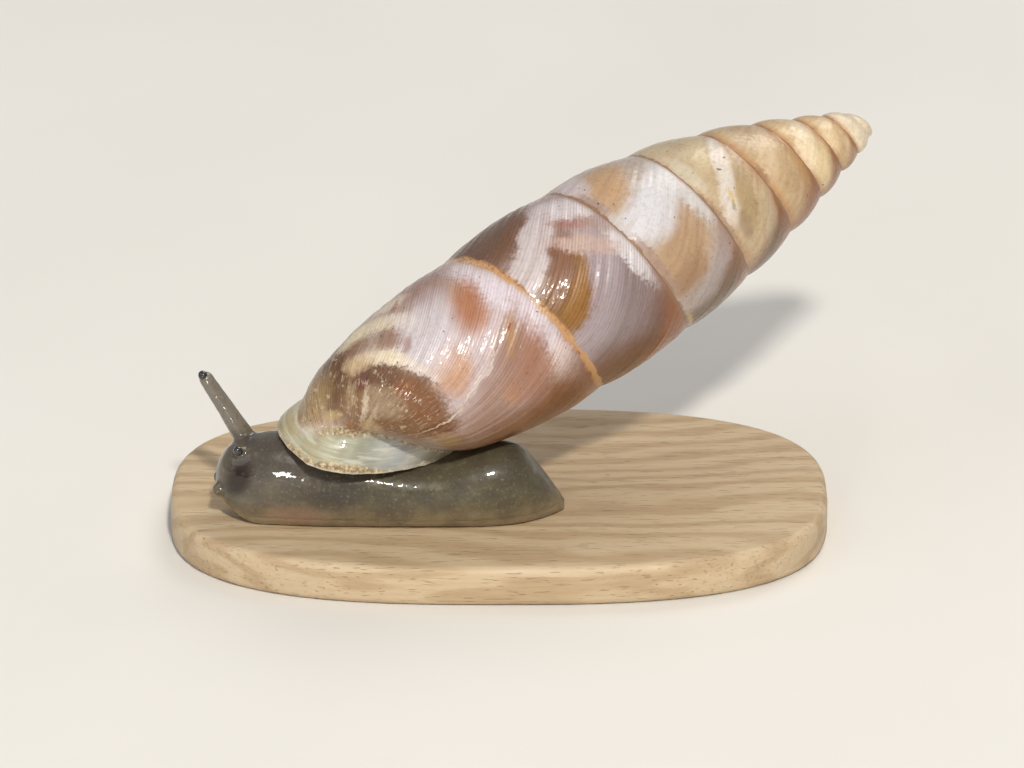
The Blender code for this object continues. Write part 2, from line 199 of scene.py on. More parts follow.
wood, tree, shader = new_finish("waxed_wood")
place = place_in_mm()
wander = cloud(place, (0.05, 0.16, 0.4), 3.0)
years = maths("MULTIPLY_ADD", wander, GRAIN_WANDER, sides_of(place)["Y"])
years = maths("SINE", times(years, RING_BEAT))
fibres = cloud(place, (0.35, 9.0, 9.0), 4.0, 0.6)
rays = cloud(place, (0.9, 3.4, 3.4), 3.0, 0.6)
pores = soft_step(cloud(place, (1.3, 16.0, 16.0), 2.0), 0.62, 0.72)
share = times(fibres, 0.4)
share = maths("MULTIPLY_ADD", soft_step(years, -0.6, 1.0), 0.3, share)
share = maths("MULTIPLY_ADD", rays, 0.25, share)
colour = tones(
    share,
    ((0.1, (204, 184, 154)), (0.45, (190, 166, 132)), (0.9, (160, 132, 98))),
)
colour = tint(times(pores, 0.3), colour, (122, 96, 70))
plug(shader.inputs["Base Color"], colour)
plug(shader.inputs["Roughness"], soft_step(fibres, 0.2, 0.8, 0.42, 0.6))
relief(shader, maths("SUBTRACT", fibres, pores), 0.02 * MM)

bm = bmesh.new()
rim = bmesh.ops.create_circle(bm, cap_ends=True, segments=BASE_SIDES, radius=1.0)["verts"]
middle = (base_low + base_high) / 2
reach = (base_high - base_low) / 2
for vert in rim:
    x, y = (math.copysign(abs(part) ** BASE_SQUARENESS, part) for part in vert.co.xy)
    vert.co = (middle.x + x * reach.x, middle.y + y * reach.y, base_low.z)
grown = bmesh.ops.extrude_face_region(bm, geom=bm.faces[:])["geom"]
top = [item for item in grown if isinstance(item, bmesh.types.BMVert)]
bmesh.ops.translate(bm, vec=(0, 0, base_high.z - base_low.z), verts=top)
bmesh.ops.recalc_face_normals(bm, faces=bm.faces)
edges = [edge for edge in bm.edges if abs(edge.verts[0].co.z - edge.verts[1].co.z) < BASE_ROUNDING]
bmesh.ops.bevel(
    bm,
    geom=edges,
    offset=BASE_ROUNDING,
    affect="EDGES",
    segments=BASE_ROUNDING_STEPS,
    profile=0.5,
    material=-1,
)
stand = new_piece("stand_slab", bm, wood)
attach(stand, "root")
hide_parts("stand_base")

# ---------------------------------------------------------------- shell form
# The shell grows as one coil of eight turns round a leaning axis, and ends in an
# egg-shaped flared lip. Sizes here are in millimetres over the sole; each turn's lower
# edge is the next turn's seam, so the sheet closes on itself.
SOLE_HEIGHT = 1.5
SHELL_LENGTH = 24.0
SHELL_TURNS = 8
SHELL_RADIUS = 3.52
SPIRE_AZIMUTH = math.radians(30.2)
SPIRE_RISE = math.radians(21.8)
AXIS_FOOT = np.array((-2.97, -1.8, 2.74))
SUTURE_END = math.radians(118.7)
SPIRE_BEND = 1.0
BEND_START = 9.0
BELLY_FLAT = 0.22
WHORL_BULGE = 0.045
TIP_BULGE = 0.16
SEAM_RADIUS = 0.955
WIDEST_AT = 12.5
TIP_ROUNDING = 0.47
FULLNESS = 0.877
NARROWING = 0.7
TIP_SWELL = 0.16
TIP_SWELL_AT = 0.45
TIP_SWELL_REACH = 0.8
TIP_CROWN = 0.14
TIP_REACH = 0.36
TIP_STEPS = 8
RISE = (0.651, 0.0218, 0.0214)
BASE_HEIGHT = 2.0
BASE_START = math.radians(16)
CHINK_RADIUS = 0.3
BASE_SLANT = math.radians(16)
BASE_TURN_IN = 3.0  # below this height on the axis, outwards also means down
SEAM_LAG = 1 / 6  # of a turn, between a growth line's two ends
GROWTH_BOW = 1.6
TURN_COLUMNS = 432
TURN_ROWS = 20
BASE_ROWS = 14
WELD = 0.0005

AXIS = np.array(
    (
        math.cos(SPIRE_RISE) * math.cos(SPIRE_AZIMUTH),
        math.cos(SPIRE_RISE) * math.sin(SPIRE_AZIMUTH),
        math.sin(SPIRE_RISE),
    )
)
SHELL_LEFT = np.array((math.sin(SPIRE_AZIMUTH), -math.cos(SPIRE_AZIMUTH), 0.0))
SHELL_BELLY = np.cross(AXIS, SHELL_LEFT)


def along(directions, amounts):
    """The sum of the directions, each times its array of amounts."""
    return sum(np.asarray(amount)[..., None] * way for way, amount in zip(directions, amounts))


def seam_drop(turn):
    return RISE[0] * turn + RISE[1] * turn**2 + RISE[2] * turn**3


def outline_radius(drop):
    part = np.maximum(0.0, (drop + TIP_ROUNDING) / (WIDEST_AT + TIP_ROUNDING)) ** FULLNESS
    part = np.where(part > 1, 1 + NARROWING * (part - 1), part)
    swell = TIP_SWELL * np.exp(-(((drop - TIP_SWELL_AT) / TIP_SWELL_REACH) ** 2))
    return SHELL_RADIUS * np.sin(math.pi / 2 * part) + swell


def shell_point(radius, drop, angle):
    """A place by its distance from the axis, below the tip, and round from the left."""
    up = SHELL_LENGTH - drop
    bend = SPIRE_BEND * (np.maximum(0.0, up - BEND_START) / (SHELL_LENGTH - BEND_START)) ** 2
    flat = BELLY_FLAT * np.maximum(0.0, np.sin(angle)) * np.maximum(0.0, 1 - up / BEND_START)
    radius = radius * (1 - flat)
    sides = (up, radius * np.cos(angle), radius * np.sin(angle) + bend)
    return AXIS_FOOT + along((AXIS, SHELL_LEFT, SHELL_BELLY), sides)


def growth_slant(across):
    return math.tau * SEAM_LAG * (GROWTH_BOW * across + (1 - GROWTH_BOW) * across**2)


def whorl_point(turn, across):
    upper = seam_drop(turn)
    lower = seam_drop(turn + 1 - SEAM_LAG)
    roundness = WHORL_BULGE + TIP_BULGE * (1 - turn / SHELL_TURNS) ** 2
    bulge = roundness * (lower - upper) * 4 * across * (1 - across)
    upper_radius = SEAM_RADIUS * outline_radius(upper)
    lower_radius = SEAM_RADIUS * outline_radius(lower)
    radius = upper_radius + (lower_radius - upper_radius) * across + bulge
    angle = SUTURE_END - math.tau * turn + growth_slant(across)
    return shell_point(radius, upper + (lower - upper) * across, angle)


def base_point(turn, part):
    """The last turn's base, from the seam line, 0, in to the chink beside the lip, 1."""
    rim_drop = seam_drop(turn + 1 - SEAM_LAG)
    rim_radius = SEAM_RADIUS * outline_radius(rim_drop)
    bow = BASE_START + (math.pi / 2 - BASE_START) * part
    radius = CHINK_RADIUS + (rim_radius - CHINK_RADIUS) * np.cos(bow) / math.cos(BASE_START)
    sink = (np.sin(bow) - math.sin(BASE_START)) / (1 - math.sin(BASE_START))
    angle = SUTURE_END - math.tau * turn + growth_slant(1) + BASE_SLANT * part
    return shell_point(radius, rim_drop + BASE_HEIGHT * sink, angle)


# How far a riblet runs back of the growth line by the lower seam, at turns of the coil
RIB_LAG_TURNS = (5.0, 6.4, 6.64, 6.85, 7.2, 7.36, 7.44, 7.52, 7.68, 8.0)
RIB_LAGS = (0.05, 0.03, 0.0, 0.03, 0.05, 0.09, 0.08, 0.05, -0.055, -0.055)
# Each swell's height in mm, its count in a turn, how far and how often it wanders, its slant
SWELLS = ((0.007, 37, 2.3, 3.1, 0), (0.005, 59, 1.9, 5.3, 2), (0.01, 11, 1.2, 2.0, 0))
REST_TURN = 7.514
REST_LEAN = 0.011
REST_WIDTH = 0.0035
REST_HEIGHT = 0.025
SEAM_FADE = 0.08  # of a turn's width, over which the swells die away


def rib_phase(turn, across):
    return turn - np.interp(turn, RIB_LAG_TURNS, RIB_LAGS) * across


def growth_waves(turn, across):
    """The low uneven swells between rests in growth, in mm, flat at the seams."""
    phase = math.tau * rib_phase(turn, across)
    waves = 0.0
    for height, count, wander, often, slant in SWELLS:
        waves += height * np.sin(count * phase + wander * np.sin(often * phase) + slant * across)
    rest = REST_HEIGHT * np.exp(-(((turn - REST_TURN - REST_LEAN * across) / REST_WIDTH) ** 2))
    strength = np.clip((turn - 3.6) / 2.4, 0.12, 1.0)
    seam = np.clip(np.abs(1 - across) / SEAM_FADE, 0, 1)
    free = np.clip((turn - SHELL_TURNS + 1 - SEAM_LAG) / 0.1, 0, 1)  # no turn lies below these
    edge = np.clip(across / SEAM_FADE, 0, 1) * (seam + (1 - seam) * free)
    return edge * (strength * waves + rest)


def coil_sheet(bm, first, last, columns, rows, place, base):
    """Adds a grid between two turns, shaped by the place function, with its pattern maps."""
    made = bmesh.ops.create_grid(bm, x_segments=columns, y_segments=rows, size=0.5)
    turn, across = np.meshgrid(
        np.linspace(first, last, columns + 1), np.linspace(0, 1, rows + 1), indexing="ij"
    )
    spots = place(turn, across)
    up = np.maximum((spots - AXIS_FOOT) @ AXIS, BASE_TURN_IN)
    outward = spots - AXIS_FOOT - up[..., None] * AXIS
    outward /= np.linalg.norm(outward, axis=-1)[..., None]
    across = across + base
    spots += outward * growth_waves(turn, across)[..., None]
    phase = rib_phase(turn, across)
    maps = [bm.loops.layers.uv[name] for name in ("turns", "growth")]
    for vert in made["verts"]:
        i = round((vert.co.x + 0.5) * columns)
        j = round((vert.co.y + 0.5) * rows)
        for loop in vert.link_loops:
            loop[maps[0]].uv = (turn[i, j], across[i, j])
            loop[maps[1]].uv = (phase[i, j], across[i, j])
        vert.co = spots[i, j]


def open_loops(bm):
    """The open edges of the mesh, as separate rings."""
    left = {edge for edge in bm.edges if edge.is_boundary}
    rings = []
    while left:
        ring = [left.pop()]
        for edge in ring:
            near = {other for vert in edge.verts for other in vert.link_edges} & left
            ring += near
            left -= near
        rings.append(ring)
    return rings


def close_with_dome(bm, ring, crown, steps):
    """Closes a ring with a low dome up to the crown, in rounded steps."""
    crown = Vector(crown)
    verts = list({vert for edge in ring for vert in edge.verts})
    centre = sum((vert.co for vert in verts), Vector()) / len(verts)
    height = crown - centre
    for step in range(1, steps):
        bow = math.pi / 2 * step / steps
        before = math.cos(math.pi / 2 * (step - 1) / steps)
        lift = (math.sin(bow) - math.sin(bow - math.pi / 2 / steps)) * height
        grown = bmesh.ops.extrude_edge_only(bm, edges=ring)["geom"]
        verts = [item for item in grown if isinstance(item, bmesh.types.BMVert)]
        ring = [item for item in grown if isinstance(item, bmesh.types.BMEdge)]
        lower = centre + math.sin(math.pi / 2 * (step - 1) / steps) * height
        for vert in verts:
            vert.co = lower + (vert.co - lower) * (math.cos(bow) / before) + lift
    grown = bmesh.ops.edgeloop_fill(bm, edges=ring)["faces"]
    bmesh.ops.poke(bm, faces=grown)
    return {vert for vert in bm.verts if (vert.co - crown).length < TIP_REACH}


def mesh_with_maps():
    """A new mesh that can hold the finish's pattern maps."""
    made = bmesh.new()
    for name in ("turns", "growth", "edge"):
        made.loops.layers.uv.new(name)
    return made


bm = mesh_with_maps()
base_from = SHELL_TURNS - 1 + SEAM_LAG
coil_sheet(bm, 0, SHELL_TURNS, SHELL_TURNS * TURN_COLUMNS, TURN_ROWS, whorl_point, 0)
base_columns = round((SHELL_TURNS - base_from) * TURN_COLUMNS)
coil_sheet(bm, base_from, SHELL_TURNS, base_columns, BASE_ROWS, base_point, 1)
bmesh.ops.remove_doubles(bm, verts=bm.verts, dist=WELD)
for ring in open_loops(bm):
    near_tip = (ring[0].verts[0].co - Vector(shell_point(0.0, 0.0, 0.0))).length < 1
    if near_tip:
        for vert in close_with_dome(bm, ring, shell_point(0.0, -TIP_CROWN, 0.0), TIP_STEPS):
            for loop in vert.link_loops:
                for name in ("turns", "growth"):
                    loop[bm.loops.layers.uv[name]].uv = (0.0, 0.5)
    else:
        opening = ring

# ---------------------------------------------------------------- shell lip
# The mouth's flared lip: thin pale shell that spreads from the coil's end to an egg-shaped
# edge in one plane, crusted along its rim. It is one piece with the coil, so the two are
# united, hollowed for the mouth, and their meeting crease is softened.
LIP_TILT = 0.513
LIP_ROLL = 0.28
LIP_CENTRE = (3.42, 1.15)
LIP_HALF_LENGTH = 3.8
LIP_HALF_WIDTH = 2.25
LIP_EGG = 0.12
LIP_SQUARENESS = 0.75
LIP_DOME = ((0.0, 1.0), (0.3, 0.96), (0.7, 0.87), (1.15, 0.72), (1.6, 0.52), (2.0, 0.25))
LIP_COLUMNS = 240
LIP_ROWS = 44
LIP_BEAD = 0.07
OPENING_DEPTH = 1.5
MOUTH_DEPTH = 0.9
MOUTH_RIM = 0.88
MOUTH_FLOOR = 0.74
MOUTH_WAIST = 0.6
MOUTH_OVERCUT = 0.4
MOUTH_ROWS = 6
DOME_EASE = 1.3
BEAD_DRAW = 0.02
CRUST_DEPTH = 0.5
CRUST_LIFT = 0.03
RING_LIFT = 0.006
RING_BEATS = 34  # radians of the lip's growth rings in a millimetre of its depth
UNEVEN_LIFT = 0.012

LIP_LONG = AXIS + LIP_TILT * SHELL_BELLY
LIP_LONG /= np.linalg.norm(LIP_LONG)
LIP_ACROSS = -SHELL_LEFT - LIP_ROLL * SHELL_BELLY
LIP_ACROSS = LIP_ACROSS - (LIP_ACROSS @ LIP_LONG) * LIP_LONG
LIP_ACROSS /= np.linalg.norm(LIP_ACROSS)
LIP_UP = np.cross(LIP_LONG, LIP_ACROSS)


def lip_point(around, scale, depth):
    """A place by its turn round the mouth, its size against the lip, and depth inside."""
    side = np.sin(around)
    side = np.copysign(np.abs(side) ** LIP_SQUARENESS, side)
    x = LIP_CENTRE[0] - scale * LIP_HALF_LENGTH * np.cos(around)
    y = LIP_CENTRE[1] + scale * LIP_HALF_WIDTH * side * (1 + LIP_EGG * np.cos(around))
    return AXIS_FOOT + along((LIP_LONG, LIP_ACROSS, LIP_UP), (x, y, depth))


def smooth_curve(points, x):
    """A smooth curve through points sorted by their first number."""
    points = np.array(points)
    knots, values = points[:, 0], points[:, 1]
    ends = np.pad(np.arange(len(knots)), 1, mode="edge")
    slopes = (values[ends[2:]] - values[ends[:-2]]) / (knots[ends[2:]] - knots[ends[:-2]])
    k = np.clip(np.searchsorted(knots, x, side="right") - 1, 0, len(knots) - 2)
    span = knots[k + 1] - knots[k]
    f = (x - knots[k]) / span
    return (
        (2 * f**3 - 3 * f**2 + 1) * values[k]
        + (f**3 - 2 * f**2 + f) * slopes[k] * span
        + (3 * f**2 - 2 * f**3) * values[k + 1]
        + (f**3 - f**2) * slopes[k + 1] * span
    )


def wrapped_sheet(bm, columns, rows, place):
    """Adds a tube of columns round by rows along, with its ends closed."""
    made = bmesh.ops.create_grid(bm, x_segments=columns, y_segments=rows, size=0.5)
    for vert in made["verts"]:
        vert.co = place((vert.co.x + 0.5) * math.tau, vert.co.y + 0.5)
    bmesh.ops.remove_doubles(bm, verts=made["verts"], dist=WELD)
    for ring in open_loops(bm):
        bmesh.ops.edgeloop_fill(bm, edges=ring)
    bmesh.ops.recalc_face_normals(bm, faces=bm.faces)


def flare_place(around, part):
    """The outside of the flare, from its buried inner end, 0, out to its rounded rim, 1."""
    depth = LIP_DOME[-1][0] * (1 - part) ** DOME_EASE
    scale = float(smooth_curve(LIP_DOME, depth))
    scale -= BEAD_DRAW * max(0.0, 1 - depth / LIP_BEAD) ** 2
    spot = Vector(lip_point(around, scale, depth))
    crust = max(0.0, 1 - depth / CRUST_DEPTH)
    crumbs = noise.noise(spot * 3.1) + 0.8 * noise.noise(spot * 7.3)
    rings = math.sin(RING_BEATS * depth + 1.5 * noise.noise(spot * 0.9))
    out = (spot - Vector(lip_point(around, 0.0, depth))).normalized()
    lift = CRUST_LIFT * crust * crumbs + RING_LIFT * rings * (1 - crust)
    lift += UNEVEN_LIFT * noise.noise(spot * 1.7)
    return spot + out * lift


def flare_maps(bm, layer):
    """The flare's pattern map. Its second number is the depth inside the rim, in mm."""
    for face in bm.faces:
        for loop in face.loops:
            depth = (loop.vert.co - Vector(AXIS_FOOT)).dot(Vector(LIP_UP))
            loop[layer].uv = (0.5, depth)


def mouth_place(around, part):
    """The mouth's hollow: a little over the rim at 0, narrowing in to its floor at 1."""
    depth = -MOUTH_OVERCUT + part * (MOUTH_DEPTH + MOUTH_OVERCUT)
    depths = (-MOUTH_OVERCUT, MOUTH_DEPTH * MOUTH_WAIST, MOUTH_DEPTH)
    scale = np.interp(depth, depths, (MOUTH_RIM, (MOUTH_RIM + MOUTH_FLOOR) / 2, MOUTH_FLOOR))
    return Vector(lip_point(around, float(scale), depth))


def temporary(name, bm, mark):
    """An object used only in a Boolean, whose faces carry a mark."""
    for face in bm.faces:
        face.material_index = mark
    piece = new_piece(name, bm, None)
    for i in range(3):
        piece.data.materials.append(None)
    return piece


def settled(piece):
    """The piece's finished mesh, with its modifiers worked out."""
    graph = bpy.context.evaluated_depsgraph_get()
    return bpy.data.meshes.new_from_object(piece.evaluated_get(graph))


grown = bmesh.ops.edgeloop_fill(bm, edges=opening)["faces"]
centre = bmesh.ops.poke(bm, faces=grown)["verts"][0]
centre.co = lip_point(0.0, 0.0, OPENING_DEPTH)
bmesh.ops.recalc_face_normals(bm, faces=bm.faces)
coil = temporary("coil", bm, 0)

bm = mesh_with_maps()
wrapped_sheet(bm, LIP_COLUMNS, LIP_ROWS, flare_place)
flare_maps(bm, bm.loops.layers.uv["edge"])
flare = temporary("flare", bm, 1)

bm = bmesh.new()
wrapped_sheet(bm, LIP_COLUMNS, MOUTH_ROWS, mouth_place)
hollow = temporary("hollow", bm, 2)

for other, operation in ((flare, "UNION"), (hollow, "DIFFERENCE")):
    modifier = coil.modifiers.new(operation.lower(), "BOOLEAN")
    modifier.operation = operation
    modifier.solver = "EXACT"
    modifier.object = other
united = settled(coil)
for piece in (coil, flare, hollow):
    bpy.data.objects.remove(piece)

CREASE_REACH = 0.2
CREASE_ROUNDS = 14
RIM_REACH = 0.07
RIM_ROUNDS = 5
CHINK_REACH = 0.3


def nearness(bm, verts):
    """For each vertex of the mesh, how far it lies from the nearest of these."""
    spots = KDTree(len(verts))
    for i, vert in enumerate(verts):
        spots.insert(vert.co, i)
    spots.balance()
    return {vert: spots.find(vert.co)[2] for vert in bm.verts}


def smoothed(bm, verts, rounds):
    for i in range(rounds):
        bmesh.ops.smooth_vert(
            bm, verts=verts, factor=0.5, use_axis_x=True, use_axis_y=True, use_axis_z=True
        )


bm = bmesh.new()
bm.from_mesh(united)
flared = bm.verts.layers.float.new("flared")
chink = bm.verts.layers.float.new("chink")
bmesh.ops.dissolve_degenerate(bm, dist=WELD / 5, edges=bm.edges)
bmesh.ops.triangulate(bm, faces=bm.faces)
# Two faces on the same corners enclose nothing, so both go.
alike = {}
for face in bm.faces:
    alike.setdefault(frozenset(face.verts), []).append(face)
doubled = [face for faces in alike.values() if len(faces) > 1 for face in faces]
bmesh.ops.delete(bm, geom=doubled, context="FACES")
marks = {vert: {face.material_index for face in vert.link_faces} for vert in bm.verts}
for meeting, reach, rounds in (
    ({0, 1}, CREASE_REACH, CREASE_ROUNDS),
    ({1, 2}, RIM_REACH, RIM_ROUNDS),
):
    far = nearness(bm, [vert for vert in bm.verts if meeting <= marks[vert]])
    smoothed(bm, [vert for vert in bm.verts if far[vert] < reach], rounds)
far = nearness(bm, [vert for vert in bm.verts if {0, 1} <= marks[vert]])
for vert in bm.verts:
    side = -1 if 0 in marks[vert] else 1
    vert[flared] = min(1.0, max(0.0, 0.5 + side * far[vert] / CREASE_REACH))
    vert[chink] = math.exp(-((far[vert] / CHINK_REACH) ** 2))
for face in bm.faces:
    face.material_index = 0
bmesh.ops.translate(bm, vec=(0, 0, SOLE_HEIGHT), verts=bm.verts)

# ---------------------------------------------------------------- shell finish
# Thin glossy shell, lilac-white, with brown, tan and cream flammules that follow the
# growth lines, fine riblets on the last turns, ochre dirt along the seams, painted shade
# in the seams and on the turns' lower sides, a painted warm glow along those lower sides,
# and a pale translucent lip. Places on it are a turn of the coil and a share across that turn.
TURN_WIDTH = 4.4  # of a turn's length, for one height of the last turns
RIBLETS = 150  # in a turn

shell_finish, tree, shader = new_finish("striped_shell")
place = place_in_mm()
turns = add("UVMap", uv_map="turns").outputs[0]
growth = add("UVMap", uv_map="growth").outputs[0]
edge = add("UVMap", uv_map="edge").outputs[0]
spot = sides_of(turns)
turn, across = spot["X"], spot["Y"]
phase = sides_of(growth)["X"]
sides = sides_of(place)
rise = sides_of(edge)["Y"]

streaks = cloud(growth, (60, 1.3, 1), 3.0, 0.6)
fine_streaks = cloud(growth, (170, 1.6, 1), 2.0, 0.6)
groups = cloud(stretched(growth, (24, 2.2, 1), (1.7, 0.6, 0)), 1.0, 2.0, 0.5)
blots = cloud(place, 1.1, 4.0, 0.6)
crumbs = cloud(place, 7.0, 3.0, 0.65)

# The ground colour, from the tip to the lip
colour = tones(
    maths("DIVIDE", turn, float(SHELL_TURNS)),
    (
        (0.0, (232, 218, 190)),
        (0.1, (230, 216, 188)),
        (0.2, (206, 176, 132)),
        (0.31, (220, 198, 156)),
        (0.4, (190, 158, 116)),
        (0.46, (196, 172, 134)),
        (0.53, (196, 172, 134)),
        (0.6, (192, 176, 146)),
        (0.66, (192, 182, 172)),
        (0.74, (180, 166, 158)),
        (0.82, (168, 150, 150)),
        (0.9, (188, 172, 170)),
        (1.0, (184, 168, 146)),
    ),
)
colour = stain(colour, (164, 136, 106), blots, 0.35, 0.7, 0.35)

# Blotches of tan and of white all round, weaker where the named marks lie
patchy = cloud(growth, (4.6, 1.1, 1), 3.0, 0.55, 0.4)
milky = cloud(stretched(growth, (6.0, 1.4, 1), (3.7, 1.9, 0)), 1.0, 2.0, 0.5, 0.3)


def towards(share):
    """From -1 to 1 by how nearly the coil has come round to this share of a turn."""
    return maths("COSINE", times(maths("SUBTRACT", turn, share), math.tau))


far_side = soft_step(towards(0.05), -0.15, 0.35, 0.12, 1.0)
tan = times(soft_step(patchy, 0.5, 0.6, 0.0, 0.75), far_side)
colour = tint(tan, colour, (152, 110, 74))
milk = times(soft_step(milky, 0.52, 0.64, 0.0, 0.8), far_side)
colour = tint(milk, colour, (210, 204, 202))

# Painted shade: the small turns are pale across their middles and darkened to a rusty brown towards
# their seams, for the shade on their rounded whorls
small = soft_step(turn, 4.0, 5.1, 1.0, 0.0)
middle = times(across, maths("SUBTRACT", 1.0, across), 4.0)
past_first = soft_step(turn, 0.9, 1.1)
below_crown = maths("MAXIMUM", past_first, soft_step(across, 0.5, 0.7))
whorl_seam_shade = times(soft_step(middle, 0.1, 0.75, 0.75, 0.0), small, below_crown)
colour = tint(whorl_seam_shade, colour, (176, 124, 76))

# Painted light and shade: a warm brown along the lower side of each turn, for light through the thin
# shell and the shade beneath it
painted_underglow = soft_step(towards(0.31), 0.7, 0.98, 0.0, 0.9)
painted_underglow = times(painted_underglow, soft_step(turn, 0.9, 1.6))
colour = tint(painted_underglow, colour, (140, 84, 40))

# The named marks. Each has its turn, its share across, its half width in turns and half
# height across, its lean in degrees, its softness, its strength and its colour.
LAST_TURN_MARKS = (
    (7.5, 0.6, 0.1, 0.52, 0, 0.6, 0.6, (198, 182, 190)),
    (7.5, 0.12, 0.17, 0.075, 2, 0.5, 0.8, (214, 205, 214)),
    (7.36, 0.16, 0.045, 0.1, 8, 0.6, 0.75, (222, 204, 198)),
    (7.7, 0.32, 0.055, 0.17, 24, 0.9, 0.8, (146, 112, 102)),
    (7.75, 0.53, 0.032, 0.06, 30, 0.6, 0.75, (218, 204, 184)),
    (7.735, 0.56, 0.006, 0.07, 20, 0.6, 0.65, (146, 88, 76)),
    # Painted shade and glow in part: these brown patches on the last turn's lower side are darker and
    # warmer for the shade and the light through the shell there
    (7.445, 0.86, 0.06, 0.24, 32, 0.8, 0.8, (142, 106, 82)),
    (7.375, 0.72, 0.04, 0.46, -12, 0.8, 0.88, (138, 100, 70)),
    (7.325, 0.44, 0.042, 0.42, -12, 0.8, 0.92, (112, 66, 26)),
    (7.465, 0.56, 0.02, 0.06, 0, 0.8, 0.7, (182, 132, 92)),
    (7.59, 0.33, 0.03, 0.13, 0, 0.8, 0.9, (166, 108, 68)),
    (7.58, 0.76, 0.028, 0.12, 0, 0.9, 0.75, (192, 142, 98)),
    (7.45, 0.34, 0.04, 0.15, 8, 0.9, 0.85, (152, 100, 66)),
    (7.495, 0.46, 0.022, 0.24, 0, 0.9, 0.75, (156, 122, 104)),
    (7.645, 0.68, 0.042, 0.24, 0, 0.8, 0.65, (206, 202, 212)),
    (7.455, 1.2, 0.03, 0.1, 0, 0.8, 0.8, (126, 92, 58)),
    (7.465, 1.45, 0.034, 0.1, 0, 0.8, 0.7, (158, 146, 124)),
    (7.62, 1.27, 0.12, 0.34, 0, 0.22, 0.96, (114, 76, 34)),
    (7.63, 1.6, 0.13, 0.2, 3, 0.6, 0.85, (122, 88, 54)),
    (7.515, 1.15, 0.022, 0.14, 0, 0.5, 0.88, (108, 62, 26)),
    (7.59, 1.14, 0.04, 0.13, 0, 0.8, 0.75, (122, 74, 32)),
    (7.625, 1.12, 0.016, 0.07, 10, 0.8, 0.5, (140, 82, 44)),
    (7.64, 1.38, 0.034, 0.12, 20, 0.9, 0.7, (164, 142, 116)),
    (7.69, 1.14, 0.038, 0.11, 14, 0.5, 0.85, (98, 64, 38)),
    (7.655, 1.4, 0.03, 0.12, 20, 0.9, 0.75, (150, 126, 100)),
    (7.715, 1.27, 0.018, 0.08, 20, 0.6, 0.8, (98, 52, 38)),
    (7.73, 1.42, 0.012, 0.12, 20, 0.8, 0.7, (184, 166, 130)),
    (7.675, 1.5, 0.006, 0.16, 20, 0.8, 0.75, (206, 192, 170)),
    (7.64, 1.58, 0.005, 0.14, 10, 0.8, 0.6, (196, 176, 146)),
    (7.775, 1.3, 0.036, 0.34, 20, 0.6, 0.92, (112, 78, 42)),
    (7.81, 1.2, 0.036, 0.34, 34, 0.6, 0.94, (98, 66, 38)),
    (7.88, 1.48, 0.07, 0.2, 26, 0.7, 0.85, (150, 124, 84)),
    (7.83, 1.56, 0.05, 0.14, 30, 0.7, 0.6, (158, 130, 82)),
    (7.65, 0.92, 0.042, 0.03, 8, 0.8, 0.75, (220, 208, 198)),
    (7.7, 0.985, 0.036, 0.05, 24, 0.9, 0.92, (224, 212, 188)),
    (7.742, 1.12, 0.022, 0.075, 40, 0.9, 0.8, (196, 172, 134)),
    (7.757, 0.74, 0.042, 0.05, 18, 0.8, 0.9, (218, 204, 178)),
    (7.7, 0.65, 0.03, 0.05, 10, 0.6, 0.75, (214, 204, 200)),
    (7.8, 0.88, 0.03, 0.09, 50, 0.5, 0.8, (222, 208, 172)),
    (7.713, 0.835, 0.022, 0.055, 15, 0.8, 0.62, (124, 82, 60)),
    (7.765, 0.95, 0.02, 0.065, 22, 0.8, 0.66, (124, 86, 58)),
    (7.67, 0.8, 0.008, 0.06, 10, 0.6, 0.6, (150, 106, 92)),
    (7.61, 1.75, 0.04, 0.1, -18, 0.6, 0.75, (196, 168, 128)),
    (7.67, 1.86, 0.04, 0.07, -22, 0.6, 0.85, (156, 98, 50)),
    (7.77, 1.7, 0.03, 0.05, 10, 0.8, 0.6, (190, 168, 118)),
    (7.47, 1.22, 0.03, 0.1, 20, 0.6, 0.6, (172, 142, 100)),
    (7.53, 1.02, 0.0018, 0.38, 0, 0.9, 0.6, (222, 208, 188)),
    (7.524, 0.55, 0.0018, 0.26, 0, 0.8, 0.6, (222, 210, 198)),
    (7.495, 0.29, 0.007, 0.08, 12, 0.9, 0.6, (176, 138, 88)),
    (7.5, 0.275, 0.0042, 0.02, 0, 0.4, 0.95, (146, 56, 28)),
)
